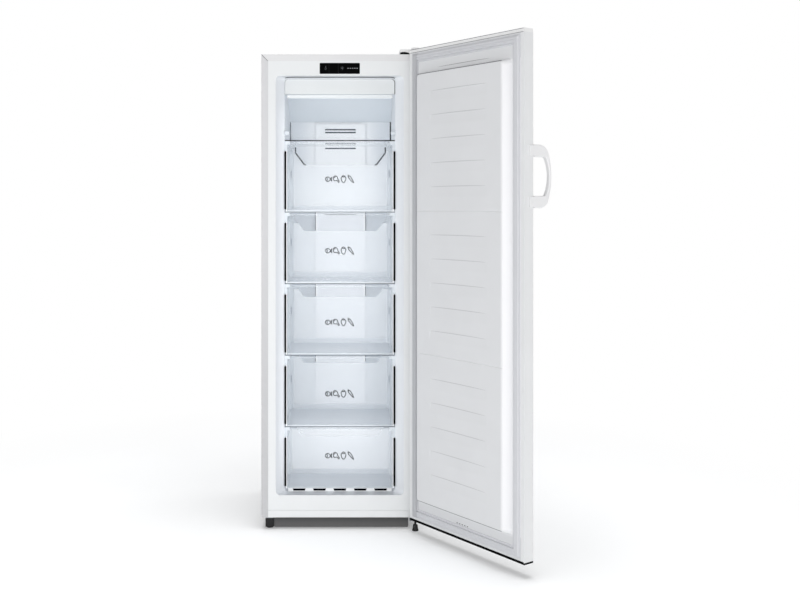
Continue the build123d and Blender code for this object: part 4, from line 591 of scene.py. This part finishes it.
clear_tint = paint(220, 227, 234)
for name in drawer_names:
    low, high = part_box(name)
    shoulder_clear = 0.0 if name == "drawer_1" else 1.0

    def drawer_regions(across, back, up):
        """The hazy rear wall, clearer above its shoulder on all but the first drawer, with a dark
        line of painted shade at the shoulder, painted shade on the floor and the wall's lowest 2
        cm, the front's tinted lip and frosted foot, and a painted highlight on its white ends."""
        at_front = back.below(plate_face + plate_thick, crisp)
        at_rear = back.above(high[1] - rear_thick, crisp)
        base = (1.0 - at_front) * up.below(at_rear * rear_shade_height + (low[2] + floor_thick), 0.0008)
        lip = at_front * up.above(high[2] - lip_height, crisp)
        foot = at_front * up.below(low[2] + foot_height, crisp)
        ends = at_front * across.size().above(end_highlight_from, crisp)
        above_shoulder = up.above(high[2] - shoulder_low, 0.0010) * shoulder_clear
        shoulder = at_rear * above_shoulder * up.below(high[2] - shoulder_high, 0.0010)
        hazy = at_rear * (1.0 - above_shoulder)
        return [(hazy, 0.30, paint(240, 244, 248)), (base, 0.30, paint(214, 220, 227)),
                (shoulder, 0.34, paint(150, 158, 168)), (lip, 0.30, paint(206, 213, 221)),
                (foot, 0.55, paint(214, 220, 226)), (ends, 0.85, paint(252, 253, 254))]

    dress(clear_moulding(f"{name}_clear", clear_tint, 0.07, 0.60, 0.14, drawer_regions), name)

# ---------------------------------------------------------------------------------------------
# The first drawer's notch. Its rear wall is cut out in the middle, so that cold air can fall in,
# and the cut's edge is thick: seen through the front, a strip of painted shade makes it a dark rim
# down each side.
notch_rear, notch_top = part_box("drawer_1")[1][1:]
rim_wall, rim_clear = 0.0022, 0.0004
rim_head = 0.004
rim_width = 0.0056
rim_face = notch_rear - rim_wall - rim_clear
rim_line = np.array([(0.1740, -0.0044), (0.1740, -0.0262), (0.1563, -0.0500), (0.1402, -0.0718),
                     (0.1330, -0.0724)])
rim_grids = []
for side in (-1, 1):
    rim = ribbon(rim_line * (side, 1) + (0, notch_top + rim_head), rim_width, rim_face)
    rim_grids.append((outwards(rim, side), False))
surface("drawer_1_notch_rim_shade", rim_grids, "drawer_1",
        finish("rim_shade", paint(14, 20, 28), 0.6, shine=0.0))

# ---------------------------------------------------------------------------------------------
# Dark strips on the drawers. A slim black strip of painted shade stands on each end of a drawer's
# front plate, in the gap to the liner's wall; a short dark grey mark sits on each side wall's
# inside, except in the short lowest drawer.
drawer_rise = 0.006
side_gap_shade_middle = 0.1948
side_gap_shade_half_width = 0.0031
side_gap_shade_depth = 0.0024
side_gap_shade_face = plate_face - 0.0026
side_gap_shade_start, side_gap_shade_end = 0.006, 0.037
side_mark_middle = 0.1832
side_mark_half_width = 0.0014
side_mark_depth = 0.004
side_mark_back = front_plane + 0.221
side_mark_bottom, side_mark_top = 0.128, 0.100


def bead(middle, half_width, depth, bottom, top, face):
    """An upright bead of oval section: at angle a it stands at middle + half_width cos a across
    and face - depth sin a back, and both ends are drawn in to a point over half_width."""
    angle = np.linspace(0.0, 2 * np.pi, 13)[:-1]
    heights = np.array([bottom, bottom + half_width, top - half_width, top])
    swell = np.array([0.02, 1.0, 1.0, 0.02])
    grid = np.empty((len(heights), len(angle), 3))
    grid[:, :, 0] = middle + half_width * swell[:, None] * np.cos(angle)
    grid[:, :, 1] = face - depth * swell[:, None] * np.sin(angle)
    grid[:, :, 2] = heights[:, None]
    return grid


side_gap_shade_black = finish("side_gap_shade_black", paint(5, 6, 9), 0.8, peel=0.2, shine=0.0)
side_mark_grey = finish("side_mark_grey", paint(84, 92, 102), 0.5, peel=0.2, shine=0.2)
for name in drawer_names:
    low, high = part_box(name)
    head = high[2] + drawer_rise
    side_gap_shades = [
        (bead(side * side_gap_shade_middle, side_gap_shade_half_width, side_gap_shade_depth, low[2] + side_gap_shade_start,
              head - side_gap_shade_end, side_gap_shade_face), True)
        for side in (-1, 1)
    ]
    surface(f"{name}_beads", side_gap_shades, name, side_gap_shade_black)
    if name == "drawer_5":
        continue
    side_marks = [
        (bead(side * side_mark_middle, side_mark_half_width, side_mark_depth, head - side_mark_bottom,
              head - side_mark_top, side_mark_back), True)
        for side in (-1, 1)
    ]
    surface(f"{name}_pegs", side_marks, name, side_mark_grey)

# ---------------------------------------------------------------------------------------------
# The print on the drawers. Four small outline pictures of frozen food, a fish, a drumstick, a
# berry and a carrot, screen-printed in grey on each front plate.
print_line = 0.0026
print_stretch = (1.0, 1.38)
print_height = 0.1155
print_face = plate_face - 0.0003
fish = [(-11, 0), (-8, 4), (-2, 6), (4, 3.5), (8, 1), (12, 5.5), (11, 0), (12, -5.5), (8, -1),
        (4, -3.5), (-2, -6), (-8, -4)]
fish_gill = [(-5.5, 4.6), (-4.2, 2), (-4.2, -2), (-5.5, -4.6)]
drumstick = [(-10, 2), (-8, 7), (-2, 8.5), (4, 5.5), (6, 1), (9, -3.5), (11.5, -5), (11, -7.5),
             (8.5, -8.5), (7, -6.5), (3, -3.5), (-3, -4.5), (-8, -3)]
drumstick_glint = [(-7, 3), (-5.5, 5.3), (-2, 6)]
berry = [(0, 5.5), (5, 6.5), (8.5, 3), (7, -3), (2.8, -8), (0, -9.2), (-2.8, -8), (-7, -3),
         (-8.5, 3), (-5, 6.5)]
berry_leaves = [(-6, 9), (-2.5, 7.5), (0, 11), (2.5, 7.5), (6, 9)]
carrot = [(-9.5, 6.5), (-6.5, 8.5), (-2.5, 7), (3, 1), (8, -6.5), (9.3, -9.3), (6.5, -8.4),
          (-0.5, -3.3), (-7, 2.2), (-9.8, 4.5)]
carrot_leaves = [(-13, 8.5), (-9, 7.8), (-10, 12)]
pictures = [(-41, [fish], [fish_gill]), (-13.5, [drumstick], [drumstick_glint]),
            (13, [berry], [berry_leaves]), (40, [carrot], [carrot_leaves])]


def rounded(points, steps=5):
    """A smooth closed line through the points: between two of them it is the cubic whose slope at
    each point is half the step from the point before to the point after."""
    here = np.array(points, dtype=float)
    before, after, beyond = (np.roll(here, shift, axis=0) for shift in (1, -1, -2))
    t = np.linspace(0.0, 1.0, steps, endpoint=False)[:, None, None]
    line = 0.5 * (2 * here + (after - before) * t + (2 * before - 5 * here + 4 * after - beyond)
                  * t ** 2 + (3 * here - before - 3 * after + beyond) * t ** 3)
    return line.transpose(1, 0, 2).reshape(-1, 2)


print_grey = finish("print_grey", paint(12, 14, 18), 0.7, shine=0.0)
for name in drawer_names:
    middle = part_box(name)[0][2] + print_height
    lines = []
    for shift, rings, strokes in pictures:
        place = np.array([shift, 0.0])
        for line, ring in [(rounded(ring), True) for ring in rings] + [
            (np.array(stroke), False) for stroke in strokes
        ]:
            drawn = (line * print_stretch + place) / 1000 + (0, middle)
            lines.append((ribbon(drawn, print_line, print_face, ring=ring), False))
    surface(f"{name}_print", lines, name, print_grey)

# ---------------------------------------------------------------------------------------------
# The flap of the top compartment. One clear moulding like the drawers, snapped onto two bosses
# at its foot, with a frosted lip to grip along its top.
flap_back = front_plane + 0.0566
flap_lip_height = 0.0124
flap_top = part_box("freezer_flap")[1][2]


def flap_regions(across, back, up):
    """The frosted lip along the flap's top edge."""
    lip = back.below(flap_back, crisp) * up.above(flap_top - flap_lip_height, crisp)
    return [(lip, 0.6, paint(243, 246, 248))]


dress(clear_moulding("flap_clear", clear_tint, 0.05, 0.55, 0.12, flap_regions), "freezer_flap")

# ---------------------------------------------------------------------------------------------
# The shelves. Toughened glass plates, nearly clear, each with a grey-green front edge darkened by
# painted shade, darkest on the top shelf.
glass_tint = paint(208, 217, 222)
ground_edge = 0.0004
shelf_edge_colours_shaded = {1: paint(36, 40, 44), 2: paint(120, 128, 134), 3: paint(92, 100, 108),
               4: paint(92, 100, 108), 5: paint(92, 100, 108)}
for level, edge_colour_shaded in shelf_edge_colours_shaded.items():
    name = f"shelf_{level}"
    shelf_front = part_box(name)[0][1]

    def shelf_regions(across, back, up):
        """The ground front edge, darkened by painted shade."""
        return [(back.below(shelf_front + ground_edge, ground_edge), 0.9, edge_colour_shaded)]

    dress(clear_moulding(f"{name}_glass", glass_tint, 0.08, 0.24, 0.06, shelf_regions), name)

# ---------------------------------------------------------------------------------------------
# The display. A black window set flush in the frame, with a board behind it. Behind the black
# show a temperature mark, a frost star, two thin dividers and a row of level bars.
display_low, display_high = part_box("display_window")
mark_face = display_low[1] - 0.0002
mark_middle = (display_low[2] + display_high[2]) / 2
mark_line, divider_line, bar_line = 0.0009, 0.0006, 0.0026
bulb = [(-50.6, 6.5), (-49.5, 7.6), (-48.4, 6.5), (-48.2, 0.5), (-46.9, -2.5), (-49.5, -5),
        (-52.1, -2.5), (-50.8, 0.5)]
star_middle = np.array([9.0, 1.0])
star_arm = 6.5
arms = [[star_middle + end * star_arm * np.array([np.cos(turn), np.sin(turn)]) for end in (1, -1)]
        for turn in np.radians([30, 90, 150])]
dividers = [[(-38, -16), (-38, 16)], [(-5.3, -16), (-5.3, 16)]]
bars = [[(27 + 8 * step, 0.5), (32 + 8 * step, 0.5)] for step in range(5)]


def mark(path, width, ring=False):
    """A line on the window, its path given in millimetres from the window's middle height."""
    on_window = np.array(path) / 1000 + (0, mark_middle)
    return ribbon(on_window, width, mark_face, ring=ring), False


dress(finish("display_black", paint(3, 3, 4), 0.3, shine=0.02), "display_window")
dress(finish("board_green", paint(32, 84, 52), 0.5), "control_board")
icons = [mark(rounded(bulb), mark_line, ring=True), *[mark(arm, mark_line) for arm in arms]]
surface("display_icons", icons, "cabinet",
        finish("mark_grey", paint(104, 106, 110), 0.7, shine=0.0))
surface("display_dividers", [mark(line, divider_line) for line in dividers], "cabinet",
        finish("divider_grey", paint(58, 59, 62), 0.7, shine=0.0))
surface("display_bars", [mark(line, bar_line) for line in bars], "cabinet",
        finish("level_grey", paint(150, 152, 156), 0.7, shine=0.0))

# ---------------------------------------------------------------------------------------------
# The door's inner side. A light grey formed liner, with a painted highlight whitening the slope
# beside the latch, and a little greyer at its foot.
hinge_axis = np.array(frame["record"]["behaviour"]["joints"][0]["pos_m"][:2])
open_turn = np.radians(125.5)
latch_slope = -0.2005
latch_low, latch_high = 0.126, 1.5965
liner_foot = 0.119


def when_closed(across, back):
    """How far across a place on the open door lies once the door is turned shut."""
    return ((across - hinge_axis[0]) * np.cos(open_turn)
            + (back - hinge_axis[1]) * np.sin(open_turn) + hinge_axis[0])


def door_liner_tone_and_highlight(across, back, up, cloud):
    """Light grey, a painted highlight on the slope beside the latch, and a little darker at the
    foot.
    """
    latch_highlight = (when_closed(across, back).below(latch_slope, 0.003)
                * up.above(latch_low, 0.004) * up.below(latch_high, 0.004))
    tone = latch_highlight.blend(cloud.blend(paint(223, 224, 226), paint(229, 230, 232)),
                          paint(244, 244, 246))
    by_foot = up.below(liner_foot, 0.006)
    return by_foot.blend(tone, cloud.blend(paint(216, 217, 219), paint(220, 221, 223)))


dress(finish("door_liner_grey_and_highlight", door_liner_tone_and_highlight, 0.42, peel=0.12), "door_liner")

# ---------------------------------------------------------------------------------------------
# The magnetic seal. An extruded soft ring, welded at mitred corners: a flat foot with a lip on
# each side and a raised hollow bead with a groove along its top, pressed into the door's inner
# face.
seal_low, seal_high = 0.0615, 1.6705
seal_reach = 0.2605
seal_base = -0.253
seal_hinge_side = 0.2285
seal_section = np.array([
    (0.0, 0.0), (0.2, 1.3), (2.6, 2.1), (4.3, 2.0), (5.2, 4.8), (6.8, 7.0), (9.0, 7.6), (12.4, 7.5),
    (13.6, 6.7), (14.8, 6.7), (16.0, 7.5), (20.0, 7.6), (22.4, 7.0), (23.8, 4.8), (24.2, 2.0),
    (25.4, 1.6), (27.0, 2.7), (29.8, 2.4), (31.8, 1.2), (32.0, 0.0),
]) / 1000


def swing(points):
    """Points of the closed door, turned about the hinge to where the door stands open."""
    along, out = np.moveaxis(points[..., :2] - hinge_axis, -1, 0)
    turned = np.array(points, dtype=float)
    turned[..., 0] = hinge_axis[0] + along * np.cos(open_turn) - out * np.sin(open_turn)
    turned[..., 1] = hinge_axis[1] + along * np.sin(open_turn) + out * np.cos(open_turn)
    return turned


def seal_ring():
    """The section carried round the door: at each corner its point that lies d in from the outer
    edge and h up stands d in from both sides and h off the door's face."""
    inwards, height = seal_section.T
    corners = []
    for across, upwards in ((-1, -1), (1, -1), (1, 1), (-1, 1), (-1, -1)):
        edge = seal_low if upwards < 0 else seal_high
        corners.append(np.stack([
            across * (seal_reach - inwards),
            seal_base + height,
            edge - upwards * inwards,
        ], axis=1))
    return swing(np.array(corners))


def seal_tone(across, back, up, cloud):
    """Light grey, and darker on the hinge's side, which faces away from the light."""
    by_hinge = when_closed(across, back).above(seal_hinge_side, 0.006)
    return by_hinge.blend(cloud.blend(paint(208, 209, 213), paint(213, 214, 218)),
                          cloud.blend(paint(186, 187, 191), paint(191, 192, 196)))


seal_grey = finish("seal_grey", seal_tone, 0.6, peel=0.3, peel_size=500.0)
seal = surface("door_seal", [(seal_ring()[::-1], True)], "door", seal_grey)
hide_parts("door_gasket")

# ---------------------------------------------------------------------------------------------
# The shade on the door's forms. A thin soft line lies along the upper edge of each of the fifteen
# shallow ribs, thickest in its middle, and darker ones along the raised middle's top and foot and
# along the folds and the gap at the door's ends.
rib_first, rib_pitch, rib_rows = 1.5287, 0.08076, 17
crease_rows = (5, 11)
rib_half, rib_rise, rib_clear = 0.136, 0.0028, 0.0002
rib_face = -0.2278
middle_half = 0.2045
middle_top, middle_top_rise = 1.5912, 0.0026
middle_foot, middle_foot_rise = 0.1330, 0.0021
edge_face = seal_base + 0.0003
edge_half = 0.2740
cap_folds, cap_fold_rise = (1.6740, 1.6848), 0.0021
head_groove, head_groove_half, head_groove_share = 1.6110, 0.130, 0.6
foot_gap, foot_gap_rise = 0.0503, 0.0030
lens = np.linspace(-1.0, 1.0, 25)
lens_rise = np.sqrt(1.0 - lens ** 2)


def shade_line(half, bottom, rise, face):
    """A strip on the closed door, from bottom up to bottom + rise and across from -half to half.
    With a rise that follows lens_rise, the height of a half circle, it is shaped like a lens."""
    grid = np.empty((2, len(lens), 3))
    grid[:, :, 0] = half * lens
    grid[:, :, 1] = face
    grid[0, :, 2] = bottom + rise
    grid[1, :, 2] = bottom
    return swing(grid)[:, ::-1], False


rib_shades = [
    shade_line(rib_half, rib_first - rib_pitch * row + rib_clear, rib_rise * lens_rise, rib_face)
    for row in range(rib_rows) if row not in crease_rows
]
surface("door_rib_shades", rib_shades, "door",
        finish("rib_shade", paint(205, 206, 208), 0.6, shine=0.1))
head_shade = shade_line(middle_half, middle_top, middle_top_rise, rib_face)
surface("door_head_shade", [head_shade], "door",
        finish("head_shade", paint(134, 135, 138), 0.6, shine=0.1))
base_shade = shade_line(middle_half, middle_foot, middle_foot_rise, rib_face)
surface("door_base_shade", [base_shade], "door",
        finish("base_shade", paint(150, 151, 154), 0.6, shine=0.1))
groove_rise = head_groove_share * rib_rise * lens_rise
edge_lines = [shade_line(head_groove_half, head_groove, groove_rise, edge_face)]
edge_lines += [shade_line(edge_half, height, cap_fold_rise, edge_face) for height in cap_folds]
surface("door_edge_lines", edge_lines, "door",
        finish("edge_shade", paint(160, 161, 164), 0.6, shine=0.1))
foot_line = shade_line(edge_half, foot_gap, foot_gap_rise, edge_face)
surface("door_foot_line", [foot_line], "door",
        finish("foot_shade", paint(6, 6, 7), 0.7, shine=0.0))

# ---------------------------------------------------------------------------------------------
# The drain slots. Five small openings in a row near the middle of the door's foot, moulded through
# its inner face and lens-shaped; a flat dark lens of painted shade on the face stands for the dark
# inside each.
slot_middle = 0.0968
slot_half, slot_bulge = 0.0032, 0.0014
slot_first, slot_pitch, slot_count = 0.238, 0.0125, 5
slot_face = seal_base + 0.0002
slot_lens = np.linspace(-1.0, 1.0, 9)
slot_rise = slot_bulge * np.sqrt(1.0 - slot_lens ** 2)
slot_grids = []
for step in range(slot_count):
    grid = np.empty((2, len(slot_lens), 3))
    grid[:, :, 0] = hinge_axis[0] - slot_first - slot_pitch * step + slot_half * slot_lens
    grid[:, :, 1] = slot_face
    grid[0, :, 2] = slot_middle + slot_rise
    grid[1, :, 2] = slot_middle - slot_rise
    slot_grids.append((swing(grid), False))
surface("door_drain_slot_shades", slot_grids, "door",
        finish("slot_shade", paint(34, 35, 38), 0.8, shine=0.0))

# ---------------------------------------------------------------------------------------------
# The handle. A white plastic bow moulded in one piece and screwed to the door's edge; the screws'
# heads are as white as the bow.
dress(finish("handle_white", paint(238, 238, 239), 0.34, peel=0.1), "door_handle", "handle_screws")

# ---------------------------------------------------------------------------------------------
# The black and dark parts, moulded or lacquered: the plinth, the feet and their block, the door's
# lower cap, the spacers, the gland and the hinge plate, and the grey bushes, fan, tray and rollers.
plinth_low, plinth_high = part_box("plinth")


def plinth_shade_tone(across, back, up, cloud):
    """Painted shade: grey at the floor and darker towards the cabinet, under its overhang."""
    height = (up - plinth_low[2]) / (plinth_high[2] - plinth_low[2])
    return height.blend(paint(98, 98, 98), paint(46, 46, 47))


dress(finish("plinth_grey_shaded", plinth_shade_tone, 0.55, peel=0.3), "plinth")
moulded_black = finish("moulded_black", paint(24, 24, 25), 0.5, peel=0.3, shine=0.3)
dress(moulded_black, "foot_block", "levelling_foot_left", "levelling_foot_right", "mains_gland",
      "wall_spacers")
dress(finish("cap_black", paint(6, 6, 7), 0.7, peel=0.2, shine=0.05), "door_bottom_cap")
dress(finish("hinge_black", paint(10, 10, 11), 0.5, peel=0.2, shine=0.1), "upper_hinge_bracket")
dress(finish("bush_grey", paint(176, 178, 180), 0.5), "hinge_bushes", "evaporator_fan",
      "evaporating_tray", "rear_roller_left", "rear_roller_right")

# ---------------------------------------------------------------------------------------------
# The dark gap under the upper hinge's cover: a black strip between the cover and the cabinet's
# front, partly the black hinge plate that shows there and partly painted shade in the gap.
gap_left, gap_right = 0.2128, 0.2440
gap_face = -0.2463
gap_bottom, gap_spring, gap_arch = 1.6788, 1.6800, 0.0052
gap_x = np.linspace(gap_left, gap_right, 9)
# Its top edge is an arch, a sine wave's from just after its start to just before its half.
arch_turn = np.linspace(0.6, np.pi - 0.3, len(gap_x))
gap_grid = np.empty((2, len(gap_x), 3))
gap_grid[:, :, 0] = gap_x
gap_grid[:, :, 1] = gap_face
gap_grid[0, :, 2] = gap_spring + gap_arch * np.sin(arch_turn)
gap_grid[1, :, 2] = gap_bottom
surface("hinge_cover_gap_shade", [(gap_grid, False)], "cabinet",
        finish("hinge_plate_and_gap_shade", paint(8, 8, 9), 0.8, shine=0.0))

# ---------------------------------------------------------------------------------------------
# The parts at the back, underneath and inside the walls: zinc-coated sheet and fixings, the
# lacquered compressor and condenser, aluminium fins, copper pipes, rubber mounts and foam.
zinc = finish("zinc_sheet", paint(176, 178, 181), 0.46, metallic=0.85, mottle=0.05, peel=0.1)
dress(zinc, "rear_panel", "base_frame", "rear_cover", "lower_hinge_bracket")
bright_zinc = finish("bright_zinc", paint(196, 196, 198), 0.3, metallic=1.0, mottle=0.03)
dress(bright_zinc, "hinge_screws", "roller_axles")
lacquer_black = finish("lacquer_black", paint(22, 22, 23), 0.35, coat=0.4)
dress(lacquer_black, "compressor", "fan_motor", "condenser_coil")
fin_aluminium = finish("fin_aluminium", paint(205, 207, 210), 0.4, metallic=1.0)
dress(fin_aluminium, "evaporator", "defrost_heater")
pipe_copper = finish("pipe_copper", paint(190, 118, 84), 0.32, metallic=1.0, mottle=0.06)
dress(pipe_copper, "refrigerant_pipes")
dress(finish("mount_rubber", paint(30, 30, 30), 0.75), "compressor_mounts")
dress(finish("foam_cream", paint(226, 210, 160), 0.9), "insulation_foam", "door_foam")
